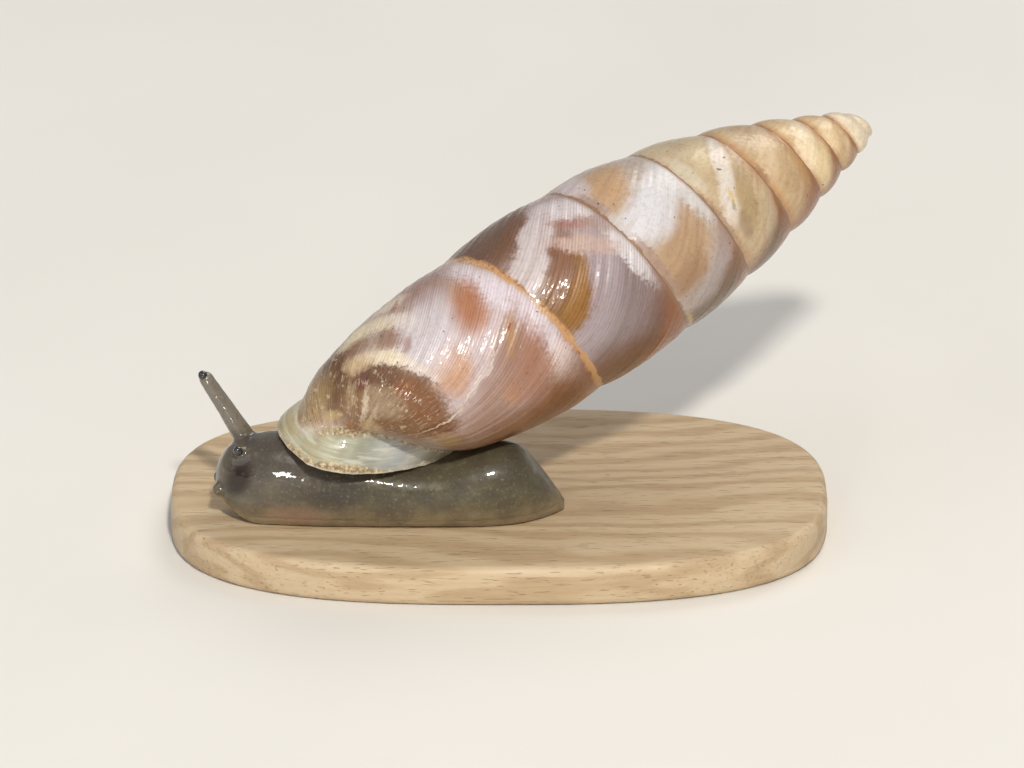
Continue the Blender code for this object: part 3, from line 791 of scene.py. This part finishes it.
MIDDLE_TURN_MARKS = (
    (6.43, 0.52, 0.08, 0.52, 0, 0.7, 0.85, (128, 112, 112)),
    (6.505, 0.55, 0.028, 0.46, 2, 0.8, 0.7, (166, 153, 158)),
    (6.455, 0.075, 0.06, 0.075, 4, 0.5, 0.9, (210, 205, 208)),
    (6.778, 0.58, 0.085, 0.62, 0, 0.24, 0.95, (98, 68, 46)),
    (6.708, 0.7, 0.014, 0.36, 0, 0.8, 0.75, (112, 76, 50)),
    (6.655, 0.66, 0.033, 0.46, 0, 0.25, 0.92, (198, 188, 188)),
    (6.605, 0.15, 0.062, 0.085, 22, 0.4, 0.92, (206, 198, 200)),
    (6.576, 0.78, 0.046, 0.42, 0, 0.24, 0.96, (128, 88, 38)),
    (6.6, 0.6, 0.022, 0.24, 0, 0.6, 0.9, (126, 86, 62)),
    (6.556, 0.74, 0.015, 0.24, 0, 0.8, 0.65, (150, 104, 40)),
    (6.56, 0.315, 0.08, 0.055, 32, 0.45, 0.92, (190, 166, 156)),
    (6.59, 0.24, 0.04, 0.02, 32, 0.8, 0.7, (158, 102, 86)),
    (6.54, 0.1, 0.04, 0.03, 20, 0.6, 0.6, (150, 122, 104)),
    # Painted shade and glow in part: these brown patches on this turn's lower side are darker for the
    # shade there, and the orange one at 6.32 is painted light through the thin shell
    (6.335, 0.62, 0.054, 0.46, -6, 0.8, 0.92, (100, 62, 32)),
    (6.39, 0.9, 0.05, 0.34, -20, 0.8, 0.88, (112, 74, 44)),
    (6.32, 0.74, 0.02, 0.5, -14, 0.8, 0.8, (184, 104, 44)),
    (6.27, 0.3, 0.05, 0.4, 14, 0.8, 0.85, (140, 82, 32)),
    (5.505, 0.6, 0.056, 0.44, -24, 0.5, 0.9, (176, 144, 108)),
    (5.475, 0.72, 0.026, 0.24, -24, 0.8, 0.75, (148, 114, 82)),
    (5.59, 0.48, 0.04, 0.52, -22, 0.5, 0.92, (208, 206, 210)),
    (5.5, 0.08, 0.065, 0.08, 10, 0.7, 0.8, (206, 204, 204)),
    (5.41, 0.5, 0.026, 0.44, -22, 0.7, 0.75, (170, 160, 158)),
    (5.7, 0.62, 0.044, 0.3, -12, 0.6, 0.9, (184, 148, 108)),
    (5.77, 0.85, 0.035, 0.14, 20, 0.6, 0.75, (200, 188, 190)),
    (5.71, 0.93, 0.03, 0.05, 0, 0.6, 0.8, (156, 136, 128)),
    (5.55, 0.93, 0.06, 0.05, 0, 0.6, 0.75, (160, 132, 116)),
    # Painted shade in part: this brown patch on the turn's lower side is made darker for the shade
    # there
    (5.355, 0.66, 0.04, 0.52, -20, 0.7, 0.92, (98, 72, 40)),
    (5.4, 0.95, 0.03, 0.03, 0, 0.8, 0.75, (196, 172, 116)),
)
UPPER_TURN_MARKS = (
    (4.575, 0.42, 0.024, 0.42, 14, 0.8, 0.85, (222, 214, 206)),
    (4.5, 0.45, 0.03, 0.26, 14, 0.8, 0.75, (166, 140, 100)),
    (4.5, 0.69, 0.026, 0.1, 0, 0.6, 0.6, (148, 124, 92)),
    (4.553, 0.6, 0.008, 0.045, 14, 0.9, 0.75, (216, 190, 132)),
    (4.55, 0.68, 0.006, 0.04, 14, 0.5, 0.6, (136, 124, 96)),
    (4.4, 0.26, 0.03, 0.24, 14, 0.6, 0.6, (194, 178, 150)),
    (4.65, 0.34, 0.03, 0.3, 10, 0.7, 0.6, (202, 184, 146)),
    (4.67, 0.88, 0.04, 0.1, 0, 0.7, 0.65, (206, 198, 178)),
    (4.55, 0.96, 0.07, 0.04, 0, 0.6, 0.75, (160, 130, 104)),
    # Painted shade in part: this brown patch on the turn's lower side is made darker for the shade
    # there
    (4.35, 0.66, 0.038, 0.46, -10, 0.8, 0.88, (104, 78, 44)),
    (3.6, 0.45, 0.03, 0.36, 10, 0.9, 0.6, (214, 190, 158)),
    (3.6, 0.93, 0.022, 0.06, 0, 0.7, 0.7, (148, 112, 84)),
    (3.42, 0.15, 0.04, 0.12, 10, 0.7, 0.6, (178, 140, 94)),
    (2.58, 0.55, 0.05, 0.4, 10, 0.8, 0.75, (236, 218, 188)),
    (1.6, 0.62, 0.05, 0.4, 10, 0.8, 0.65, (232, 210, 174)),
)
ragged = add("CombineXYZ")
plug(ragged.inputs[2], 1.0)
sway = soft_step(blots, 0.2, 0.8, -0.04, 0.04)
plug(ragged.inputs[0], maths("MULTIPLY_ADD", crumbs, 0.06, sway))
sway = maths("MULTIPLY_ADD", fine_streaks, 0.06, -0.03)
plug(ragged.inputs[1], maths("ADD", sway, soft_step(crumbs, 0.2, 0.8, -0.03, 0.03)))
warped = add("VectorMath", operation="ADD")
plug(warped.inputs[0], stretched(turns, (TURN_WIDTH, 1, 1)))
plug(warped.inputs[1], ragged.outputs[0])
for at, over, half, tall, lean, soft, strength, shade in (
    LAST_TURN_MARKS + MIDDLE_TURN_MARKS + UPPER_TURN_MARKS
):
    apart = 0.0
    x, y = math.cos(math.radians(lean)), math.sin(math.radians(lean))
    for x, y, reach in ((x, y, half * TURN_WIDTH), (-y, x, tall)):
        part = add("VectorMath", operation="DOT_PRODUCT")
        plug(part.inputs[0], warped.outputs[0])
        plug(part.inputs[1], (x / reach, y / reach, -(at * TURN_WIDTH * x + over * y) / reach))
        part = part.outputs["Value"]
        apart = maths("MULTIPLY_ADD", part, part, apart)
    share = soft_step(apart, (1 - soft) ** 2, (1 + soft) ** 2, strength, 0.0)
    colour = tint(share, colour, shade)

# Fine dirt that runs with the growth of the dark patch beside the lip
fibres = cloud(growth, (130, 9, 1), 3.0, 0.7)
beside = times(soft_step(across, 0.96, 1.08), soft_step(turn, 7.46, 7.5))
beside = times(beside, soft_step(blots, 0.38, 0.58, 0.35, 1.0))
pale_dirt = times(soft_step(fibres, 0.54, 0.7, 0.0, 0.75), beside)
colour = tint(pale_dirt, colour, (196, 174, 150))
red_dirt = times(soft_step(fibres, 0.46, 0.3, 0.0, 0.75), beside)
colour = tint(red_dirt, colour, (94, 46, 20))

# Growth streaks and riblets
dark = soft_step(streaks, 0.35, 0.7, 0.0, 0.2)
colour = tint(dark, colour, (176, 136, 112), "MULTIPLY")
late = soft_step(turn, 5.2, 6.5)
grouped = times(soft_step(groups, 0.36, 0.62, 0.15, 1.0), late)
pale = times(soft_step(fine_streaks, 0.56, 0.74, 0.0, 0.9), grouped)
colour = tint(pale, colour, (96, 92, 92), "DODGE")
beat = maths("MULTIPLY_ADD", phase, RIBLETS * math.tau, times(fine_streaks, 5.0))
riblets = maths("SINE", beat)
crest = times(soft_step(riblets, 0.0, 1.0, 0.0, 0.9), grouped)
colour = tint(crest, colour, (100, 96, 98), "DODGE")
trough = times(soft_step(riblets, 0.2, -1.0, 0.0, 0.2), grouped)
colour = tint(trough, colour, (170, 134, 124), "MULTIPLY")

# A fine mottle in the horny outer skin
colour = stain(colour, (176, 150, 126), crumbs, 0.5, 0.68, 0.2, "MULTIPLY")
colour = stain(colour, (100, 96, 90), crumbs, 0.48, 0.3, 0.5, "DODGE")

# Seams: ochre dirt on each side of the last one; below each of the others a band of painted shade
# where the seam is drawn in, and a thin dark line of painted shadow
dirty = soft_step(cloud(place, 1.4, 3.0), 0.35, 0.62)
newest = soft_step(turn, 6.12, 6.24)
piled = soft_step(maths("FRACT", turn), 0.48, 0.62, 0.15, 1.0)
above = soft_step(turn, 7.1, 7.16, 1.0, 0.0)
reach = soft_step(newest, 0.0, 1.0, 0.024, 0.022)
reach = times(reach, soft_step(dirty, 0.0, 1.0, 0.35, 1.4))
crumbling = maths("SUBTRACT", 0.5, crumbs)
from_seam = maths("SUBTRACT", 1.0, across)
from_seam = maths("MULTIPLY_ADD", crumbling, times(piled, 0.04), from_seam)
low_band = soft_step(maths("DIVIDE", from_seam, reach), 0.5, 1.6, 0.92, 0.0)
low_band = times(low_band, above)
newest_below = soft_step(turn, 7.12, 7.24)
under_seam = maths("MULTIPLY_ADD", crumbling, times(piled, 0.06), across)
under_seam = soft_step(maths("DIVIDE", under_seam, reach), 0.3, 2.0, 0.9, 0.0)
under_seam = times(under_seam, newest_below)
band = maths("MAXIMUM", low_band, under_seam)
ochre = tint(newest, (136, 110, 88), (194, 148, 98))
piles = times(soft_step(crumbs, 0.42, 0.62), piled)
ochre = tint(piles, ochre, (142, 96, 56))
colour = tint(band, colour, ochre)
older = soft_step(newest_below, 0.0, 1.0, 1.0, 0.0)
# Painted shade: just below each older seam the turn is darkened to brown where the seam is drawn in
seam_recess_shade = times(soft_step(across, 0.0, 0.05, 0.55, 0.0), older, past_first)
colour = tint(seam_recess_shade, colour, (146, 112, 84))
# Painted shadow: a thin dark brown line just below each seam, faint on the last one
old_seams = times(past_first, soft_step(newest_below, 0.0, 1.0, 1.0, 0.1))
seam_shadow_line = times(soft_step(across, 0.002, 0.014, 0.75, 0.0), old_seams)
colour = tint(seam_shadow_line, colour, (112, 82, 58))

# Crumbs and specks of dirt
flecks = soft_step(cloud(place, 4.2, 4.0, 0.7), 0.58, 0.66, 0.0, 0.65)
belly = times(soft_step(across, 0.95, 1.15), soft_step(turn, 7.46, 7.56))
colour = tint(times(flecks, belly), colour, (196, 178, 144))
specks = soft_step(cloud(place, 5.2, 1.0), 0.755, 0.795, 0.0, 0.8)
colour = tint(specks, colour, (84, 58, 44))

# The lip: from horn-coloured on the left to bluish grey on the right, with a crusted rim
flared = add("Attribute", attribute_name="flared").outputs["Fac"]
chinked = add("Attribute", attribute_name="chink").outputs["Fac"]
lip = tones(
    soft_step(sides["X"], -4.2, 2.6),
    (
        (0.0, (168, 152, 116)),
        (0.18, (166, 162, 134)),
        (0.42, (148, 149, 131)),
        (0.68, (160, 162, 164)),
        (0.88, (150, 142, 124)),
        (1.0, (150, 124, 92)),
    ),
)
veil = cloud(place, 1.3, 3.0, 0.5, 0.4)
rings = add("CombineXYZ")
for socket, value in zip(rings.inputs, (times(rise, 9.0), sides["X"], sides["Z"])):
    plug(socket, value)
bands = cloud(rings.outputs[0], 0.8, 3.0, 0.6, 0.3)
lip = stain(lip, (186, 186, 172), veil, 0.42, 0.7, 0.45)
lip = stain(lip, (142, 136, 122), veil, 0.48, 0.28, 0.45)
lip = stain(lip, (200, 199, 186), bands, 0.52, 0.66, 0.6)
lip = stain(lip, (132, 128, 104), bands, 0.46, 0.32, 0.5)
worn = times(soft_step(sides["X"], -4.2, -3.0), soft_step(sides["X"], 0.2, -1.6))
worn = times(worn, soft_step(cloud(place, 1.3, 2.0), 0.36, 0.56))
crusty = maths("MULTIPLY_ADD", crumbs, -0.6, maths("MULTIPLY_ADD", worn, -0.22, rise))
crust = soft_step(crusty, -0.26, -0.12, 0.9, 0.0)
crust_tones = ((0.35, (100, 76, 50)), (0.47, (146, 120, 84)), (0.62, (202, 186, 154)))
crust_colour = tones(crumbs, crust_tones)
lip = tint(crust, lip, crust_colour)
lip = tint(soft_step(rise, 0.02, 0.12, 0.85, 0.0), lip, (214, 206, 188))
colour = tint(flared, colour, lip)
dusty = soft_step(sides["X"], -3.6, -2.2, -0.35, 0.05)
crumbled = maths("ADD", times(crumbs, 0.8), times(blots, 0.9))
crumbled = maths("ADD", crumbled, maths("ADD", chinked, dusty))
crumbled = soft_step(crumbled, 1.52, 1.86, 0.0, 0.85)
colour = tint(crumbled, colour, crust_colour)
plug(shader.inputs["Base Color"], colour)

rough = soft_step(crumbs, 0.3, 0.7, 0.3, 0.46)
crusted = maths("MAXIMUM", crumbled, times(crust, flared))
rough = maths("MULTIPLY_ADD", crusted, 0.3, rough)
plug(shader.inputs["Roughness"], rough)
plug(shader.inputs["Coat Weight"], maths("MULTIPLY_ADD", flared, -0.3, 0.6))
shader.inputs["Coat Roughness"].default_value = 0.1
shader.inputs["Specular IOR Level"].default_value = 0.3
shader.inputs["Subsurface Weight"].default_value = 0.2
shader.inputs["Subsurface Radius"].default_value = (1.0, 0.75, 0.55)
shader.inputs["Subsurface Scale"].default_value = 0.35 * MM
unflared = maths("SUBTRACT", 1.0, flared)
ribbed = times(riblets, times(late, unflared))
grit = cloud(place, 13.0, 2.0, 0.6)
height = maths("MULTIPLY_ADD", ribbed, 0.12, times(grit, 0.3))
crumbly = maths("ADD", times(crumbled, 2.0), 0.3)
height = maths("MULTIPLY_ADD", crumbs, crumbly, height)
relief(shader, height, 0.02 * MM)
flakes = soft_step(cloud(place, 8.0, 3.0, 0.75), 0.5, 0.8)
flakes = maths("MULTIPLY_ADD", cloud(place, 1.6, 2.0), 2.2, times(flakes, 1.5))
relief(shader, flakes, 0.022 * MM, coat=True)

shell = new_piece("striped_shell", bm, shell_finish, MM)
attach(shell, "root")
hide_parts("shell")

# ---------------------------------------------------------------- skin
# The animal's soft body in one wet skin: foot, tail, neck, head, the long feeler, the
# drawn-in one, the two lip feelers, the mouth and the mantle's collar in the shell's
# opening. The parts are closed forms, fused and smoothed, then given their fine relief.
BODY_STATIONS = (
    (-6.32, 0.2, 1.18, 1.72),
    (-6.18, 0.52, 0.86, 2.08),
    (-5.86, 0.86, 0.5, 2.52),
    (-5.35, 1.12, 0.16, 2.84),
    (-4.8, 1.26, 0.0, 2.98),
    (-4.0, 1.36, 0.0, 3.04),
    (-3.0, 1.46, 0.0, 2.9),
    (-1.5, 1.52, 0.0, 2.45),
    (0.5, 1.54, 0.0, 2.14),
    (1.7, 1.54, 0.0, 2.2),
    (2.7, 1.52, 0.0, 2.48),
    (3.6, 1.46, 0.0, 2.6),
    (4.4, 1.3, 0.0, 2.38),
    (5.0, 1.02, 0.0, 1.62),
    (5.5, 0.66, 0.0, 0.9),
    (5.9, 0.26, 0.0, 0.32),
)
BODY_COLUMNS = 120
BODY_RINGS = 150
BODY_BOXINESS = 0.82
BELLY_LINE = 0.36
SOLE_CUT = 1.35
TAIL_SWING = 0.45
TAIL_START = 2.7
TAIL_END = 5.9
FEELER_OUT = (Vector((-5.16, 0.42, 2.52)), Vector((-6.77, 0.98, 4.97)), 0.42, 0.27)
FEELER_IN = (Vector((-5.26, -0.45, 2.45)), Vector((-5.52, -0.66, 2.8)), 0.36, 0.21)
FEELER_TAPER = 0.7
LIP_FEELER_BASE = Vector((-5.98, 0.42, 1.28))
LIP_FEELER_WAY = Vector((-0.8, 0.34, -0.5)).normalized()
LIP_FEELER = (0.52, 0.3, 0.25)  # length, and the radii at its two ends
MOUTH_LOBE = Vector((-6.1, 0.0, 0.92))
MOUTH_LOBE_SIZE = Vector((0.34, 0.42, 0.28))
COLLAR_RIM = 0.83
COLLAR_FLOOR = 0.69
COLLAR_DEPTHS = (0.02, 0.8)
FEELER_ROWS = 40
FEELER_SIDES = 36
FEELER_DOME = 8  # steps in the rounded end
SKIN_VOXEL = 0.05
SKIN_INSET = 0.012
WRINKLE = 0.008
WRINKLE_BEAT = 42  # radians of the feelers' rings in a millimetre


def body_place(around, part):
    """A section of the body: a rounded hump on a flat sole."""
    first, last = BODY_STATIONS[0][0], BODY_STATIONS[-1][0]
    x = first + (last - first) * (0.5 - 0.5 * math.cos(math.pi * part))
    half, under, top = (
        float(smooth_curve([(station[0], station[k]) for station in BODY_STATIONS], x))
        for k in (1, 2, 3)
    )
    under = max(0.0, under)
    swing = TAIL_SWING * max(0.0, (x - TAIL_START) / (TAIL_END - TAIL_START)) ** 2
    waist = under + BELLY_LINE * (top - under)
    round_way = (math.sin(around), math.cos(around))
    y, z = (math.copysign(abs(side) ** BODY_BOXINESS, side) for side in round_way)
    height = waist + z * ((top - waist) if z > 0 else SOLE_CUT * (waist - under))
    return Vector((x, y * half + swing, max(height, under)))


def collar_place(around, part):
    scale = COLLAR_RIM + (COLLAR_FLOOR - COLLAR_RIM) * part
    depth = COLLAR_DEPTHS[0] + (COLLAR_DEPTHS[1] - COLLAR_DEPTHS[0]) * part
    return Vector(lip_point(around, scale, depth))


def feeler(bm, base, tip, base_radius, tip_radius):
    """A tapering feeler with fine rings in its skin and a domed end."""
    way = tip - base
    shaft = way.length - tip_radius
    profile = [(0.0, 0.0)]
    for i in range(FEELER_ROWS + 1):
        part = i / FEELER_ROWS
        radius = base_radius + (tip_radius - base_radius) * part**FEELER_TAPER
        profile.append((radius + WRINKLE * math.sin(WRINKLE_BEAT * shaft * part), shaft * part))
    for i in range(1, FEELER_DOME + 1):
        bow = math.pi / 2 * i / FEELER_DOME
        profile.append((tip_radius * math.cos(bow), shaft + tip_radius * math.sin(bow)))
    verts = [bm.verts.new((max(radius, 0.0), 0.0, up)) for radius, up in profile]
    edges = [bm.edges.new(pair) for pair in zip(verts, verts[1:])]
    before = set(bm.verts)
    bmesh.ops.spin(
        bm,
        geom=verts + edges,
        cent=(0, 0, 0),
        axis=(0, 0, 1),
        angle=math.tau,
        steps=FEELER_SIDES,
        use_merge=True,
    )
    made = verts + [vert for vert in bm.verts if vert not in before]
    turned = way.to_track_quat("Z", "Y").to_matrix().to_4x4()
    bmesh.ops.transform(bm, matrix=Matrix.Translation(base) @ turned, verts=made)
    bmesh.ops.remove_doubles(bm, verts=made, dist=WELD)


bm = bmesh.new()
wrapped_sheet(bm, BODY_COLUMNS, BODY_RINGS, body_place)
collar = bmesh.new()
wrapped_sheet(collar, BODY_COLUMNS, 4, collar_place)
scratch = bpy.data.meshes.new("collar_scratch")
collar.to_mesh(scratch)
collar.free()
bm.from_mesh(scratch)
bpy.data.meshes.remove(scratch)
feeler(bm, *FEELER_OUT)
feeler(bm, *FEELER_IN)
for side in (1, -1):
    base = LIP_FEELER_BASE * Vector((1, side, 1))
    tip = base + LIP_FEELER_WAY * Vector((1, side, 1)) * LIP_FEELER[0]
    feeler(bm, base, tip, *LIP_FEELER[1:])
ball = bmesh.ops.create_uvsphere(bm, u_segments=32, v_segments=20, radius=1.0)["verts"]
bmesh.ops.scale(bm, vec=MOUTH_LOBE_SIZE, verts=ball)
bmesh.ops.translate(bm, vec=MOUTH_LOBE, verts=ball)
bmesh.ops.recalc_face_normals(bm, faces=bm.faces)
flesh = temporary("flesh", bm, 0)
modifier = flesh.modifiers.new("fused", "REMESH")
modifier.mode = "VOXEL"
modifier.voxel_size = SKIN_VOXEL
fused = settled(flesh)
bpy.data.objects.remove(flesh)

SKIN_ROUNDS = 6
PORE = Vector(lip_point(4.4, 0.55, 0.0))
PORE_REACH = 0.28
PORE_DEPTH = 0.25
GROOVE_HEIGHT = 0.34
GROOVE_DEPTH = 0.035
GROOVE_WIDTH = 0.06
SOLE_FRILL = 0.006
FRILL_BEAT = 26  # radians of the sole's frill in a millimetre
SOLE_FLAT = 0.06  # below this height the sole stays flat
TUBERCLE = 0.011
TUBERCLES = 4.6  # in one millimetre
TUBERCLE_SHAPE = Vector((0.7, 1.0, 1.0))  # longer along the body than across
SKIN_SWELL = 0.01
SKIN_SWELLS = 1.3  # in one millimetre

bm = bmesh.new()
bm.from_mesh(fused)
smoothed(bm, bm.verts, SKIN_ROUNDS)
bm.normal_update()
moves = []
for vert in bm.verts:
    spot = vert.co
    on_side = max(0.0, 1 - abs(vert.normal.z))
    cell = noise.voronoi(spot * TUBERCLE_SHAPE * TUBERCLES)[0][0]
    lift = TUBERCLE * (0.5 - min(cell, 1.0)) + SKIN_SWELL * noise.noise(spot * SKIN_SWELLS)
    lift -= GROOVE_DEPTH * on_side * math.exp(-(((spot.z - GROOVE_HEIGHT) / GROOVE_WIDTH) ** 2))
    if spot.z < GROOVE_HEIGHT:
        lift += SOLE_FRILL * on_side * math.sin(FRILL_BEAT * spot.x)
    lift -= PORE_DEPTH * math.exp(-(((spot - PORE).length / PORE_REACH) ** 4))
    free = 1.0 if spot.z > SOLE_FLAT else 0.0
    moves.append(vert.normal * (lift * free - SKIN_INSET))
for vert, move in zip(bm.verts, moves):
    vert.co += move
bmesh.ops.translate(bm, vec=(0, 0, SOLE_HEIGHT), verts=bm.verts)

skin, tree, shader = new_finish("wet_skin")
place = place_in_mm()
sides = sides_of(place)
blots = cloud(place, 0.9, 4.0, 0.6)
fine = cloud(place, 9.0, 3.0, 0.65)
colour = tones(
    soft_step(sides["X"], -6.5, 6.0),
    (
        (0.0, (94, 85, 66)),
        (0.1, (86, 78, 61)),
        (0.24, (69, 63, 53)),
        (0.42, (76, 70, 53)),
        (0.65, (80, 74, 55)),
        (1.0, (86, 80, 60)),
    ),
)
low = soft_step(sides["Z"], 1.5, 2.9, 0.6, 0.0)
colour = tint(low, colour, (158, 138, 106))
colour = stain(colour, (62, 54, 52), blots, 0.42, 0.66, 0.45)
colour = stain(colour, (128, 118, 98), blots, 0.46, 0.3, 0.4)
colour = stain(colour, (150, 142, 130), fine, 0.55, 0.75, 0.35)
# Darker and paler regions of the skin. Each has its middle, its half sizes, its turn about
# the body's width in degrees, its softness, its strength and its colour.
SKIN_MARKS = (
    ((-3.9, -0.6, 4.1), (0.9, 1.2, 0.7), 0.0, 0.6, 0.55, (66, 59, 56)),
    ((-3.5, -1.3, 2.0), (0.9, 0.7, 0.35), 0.0, 0.8, 0.5, (144, 110, 92)),
    ((-5.48, -0.8, 3.24), (0.4, 1.1, 0.74), 28.0, 0.55, 1.0, (34, 16, 5)),
    ((-5.3, -1.0, 2.4), (0.5, 0.9, 0.3), 0.0, 0.8, 0.35, (104, 100, 84)),
    ((-5.32, 0.46, 4.22), (0.62, 0.62, 0.32), 0.0, 0.4, 0.25, (70, 64, 58)),
    ((-5.1, -0.15, 4.38), (0.3, 0.36, 0.1), 0.0, 0.6, 0.6, (54, 48, 50)),
)
for at, half, turned, soft, strength, shade in SKIN_MARKS:
    mark = add("Mapping", vector_type="TEXTURE")
    plug(mark.inputs["Vector"], place)
    mark.inputs["Location"].default_value = at
    mark.inputs["Rotation"].default_value = (0, math.radians(turned), 0)
    mark.inputs["Scale"].default_value = half
    size = add("VectorMath", operation="LENGTH")
    plug(size.inputs[0], mark.outputs[0])
    worn = maths("MULTIPLY_ADD", fine, 0.3, size.outputs["Value"])
    share = soft_step(worn, 1.15 - soft, 1.15 + soft, strength, 0.0)
    colour = tint(share, colour, shade)
stalk = soft_step(sides["Z"], 4.42, 4.75)
stalk = times(stalk, soft_step(sides["X"], -5.5, -5.1, 1.0, 0.0))
pale = tint(fine, (104, 97, 86), (124, 116, 104))
colour = tint(times(stalk, 0.9), colour, pale)
colour = stain(colour, (56, 50, 50), fine, 0.45, 0.25, 0.35)
plug(shader.inputs["Base Color"], colour)
plug(shader.inputs["Roughness"], soft_step(fine, 0.3, 0.7, 0.28, 0.42))
plug(shader.inputs["Coat Weight"], soft_step(sides["X"], -4.0, -3.0, 1.0, 0.3))
shader.inputs["Coat Roughness"].default_value = 0.05
shader.inputs["Specular IOR Level"].default_value = 0.2
shader.inputs["Subsurface Weight"].default_value = 0.3
shader.inputs["Subsurface Radius"].default_value = (1.0, 0.8, 0.6)
shader.inputs["Subsurface Scale"].default_value = 0.4 * MM
relief(shader, fine, 0.010 * MM)
relief(shader, cloud(place, 4.0, 2.0), 0.0035 * MM, coat=True)

body = new_piece("snail_skin", bm, skin, MM)
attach(body, "root")
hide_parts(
    "head", "neck", "foot", "tail", "mouth", "mantle_collar",
    "upper_feeler_right", "upper_feeler_left", "lower_feeler_right", "lower_feeler_left",
)

# ---------------------------------------------------------------- eyes
# The two bead eyes, black and wet, set in the ends of the long feelers. Each is a ball
# with a slightly raised lens on the side that looks out.
EYE_RADIUS = 0.17
EYE_SINK = 0.09
EYE_LIFT = Vector((-0.01, -0.1, 0.0))
LENS_RISE = 0.012
LENS_FROM = 0.7  # the cosine at which the lens begins
eye_finish, tree, shader = new_finish("eye_black")
place = place_in_mm()
murk = cloud(place, 8.0, 3.0)
plug(shader.inputs["Base Color"], tint(murk, (10, 9, 10), (44, 36, 34)))
plug(shader.inputs["Roughness"], soft_step(murk, 0.3, 0.7, 0.15, 0.25))
shader.inputs["Coat Weight"].default_value = 1.0
shader.inputs["Coat Roughness"].default_value = 0.10
for side, long_feeler in (("right", FEELER_OUT), ("left", FEELER_IN)):
    base, tip = long_feeler[:2]
    way = (tip - base).normalized()
    centre = tip + EYE_LIFT - way * EYE_SINK + Vector((0, 0, SOLE_HEIGHT))
    bm = bmesh.new()
    bmesh.ops.create_uvsphere(bm, u_segments=40, v_segments=28, radius=EYE_RADIUS)
    for vert in bm.verts:
        facing = max(0.0, vert.co.normalized().dot(way))
        vert.co *= 1 + LENS_RISE / EYE_RADIUS * max(0.0, (facing - LENS_FROM) / (1 - LENS_FROM)) ** 0.5
    bmesh.ops.translate(bm, vec=centre, verts=bm.verts)
    eye = new_piece(f"bead_eye_{side}", bm, eye_finish, MM)
    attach(eye, "root")
    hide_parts(f"eye_{side}")

# ---------------------------------------------------------------- studio
# A plain pale floor, a small high key light and a low catch light in front of the animal,
# two broad soft lights, and a long lens that looks down on the animal's left side.
FLOOR_SIZE = 1.2
bm = bmesh.new()
bmesh.ops.create_grid(bm, x_segments=2, y_segments=2, size=FLOOR_SIZE / 2)
floor_finish, tree, shader = new_finish("pale_floor")
place = add("TexCoord").outputs["Object"]
shade = tint(cloud(place, 60.0, 3.0), (222, 219, 213), (230, 227, 222))
plug(shader.inputs["Base Color"], shade)
shader.inputs["Roughness"].default_value = 0.85
floor = new_piece("studio_floor", bm, floor_finish)

AIM = Vector((4.05, 2.6, 5.26)) * MM


def lamp(name, azimuth, rise, distance, size, power, shade):
    """An area light that faces the animal, turned from the front towards its right."""
    light = bpy.data.lights.new(name, "AREA")
    light.shape = "DISK"
    light.size = size
    light.energy = power
    light.color = paint(*shade)[:3]
    holder = bpy.data.objects.new(name, light)
    flat = math.cos(math.radians(rise))
    turned = math.radians(azimuth)
    way = Vector((math.sin(turned) * flat, -math.cos(turned) * flat, math.sin(math.radians(rise))))
    holder.location = AIM + way * distance
    holder.rotation_euler = way.to_track_quat("Z", "Y").to_euler()
    bpy.context.scene.collection.objects.link(holder)


lamp("key_light", 9, 46, 0.45, 0.04, 1.5, (255, 250, 240))
lamp("side_light", -60, 35, 0.5, 0.35, 0.3, (240, 245, 255))
lamp("back_light", 150, 50, 0.5, 0.3, 0.8, (255, 248, 238))
lamp("catch_light", -13, 8, 0.4, 0.045, 0.3, (255, 252, 246))

world = bpy.data.worlds.new("soft_surround")
world.use_nodes = True
sky = world.node_tree.nodes["Background"]
sky.inputs["Color"].default_value = paint(232, 236, 242)
sky.inputs["Strength"].default_value = 0.36
bpy.context.scene.world = world
bpy.context.scene.view_settings.view_transform = "Standard"

CAMERA_RISE = math.radians(25)
CAMERA_DISTANCE = 0.23
LENS_LENGTH = 229.7
lens = bpy.data.cameras.new("camera")
lens.lens = LENS_LENGTH
lens.sensor_width = 36
lens.clip_start = 0.01
camera = bpy.data.objects.new("camera", lens)
way = Vector((0, -math.cos(CAMERA_RISE), math.sin(CAMERA_RISE)))
camera.location = AIM + way * CAMERA_DISTANCE
camera.rotation_euler = (math.pi / 2 - CAMERA_RISE, 0, 0)
bpy.context.scene.collection.objects.link(camera)
bpy.context.scene.camera = camera
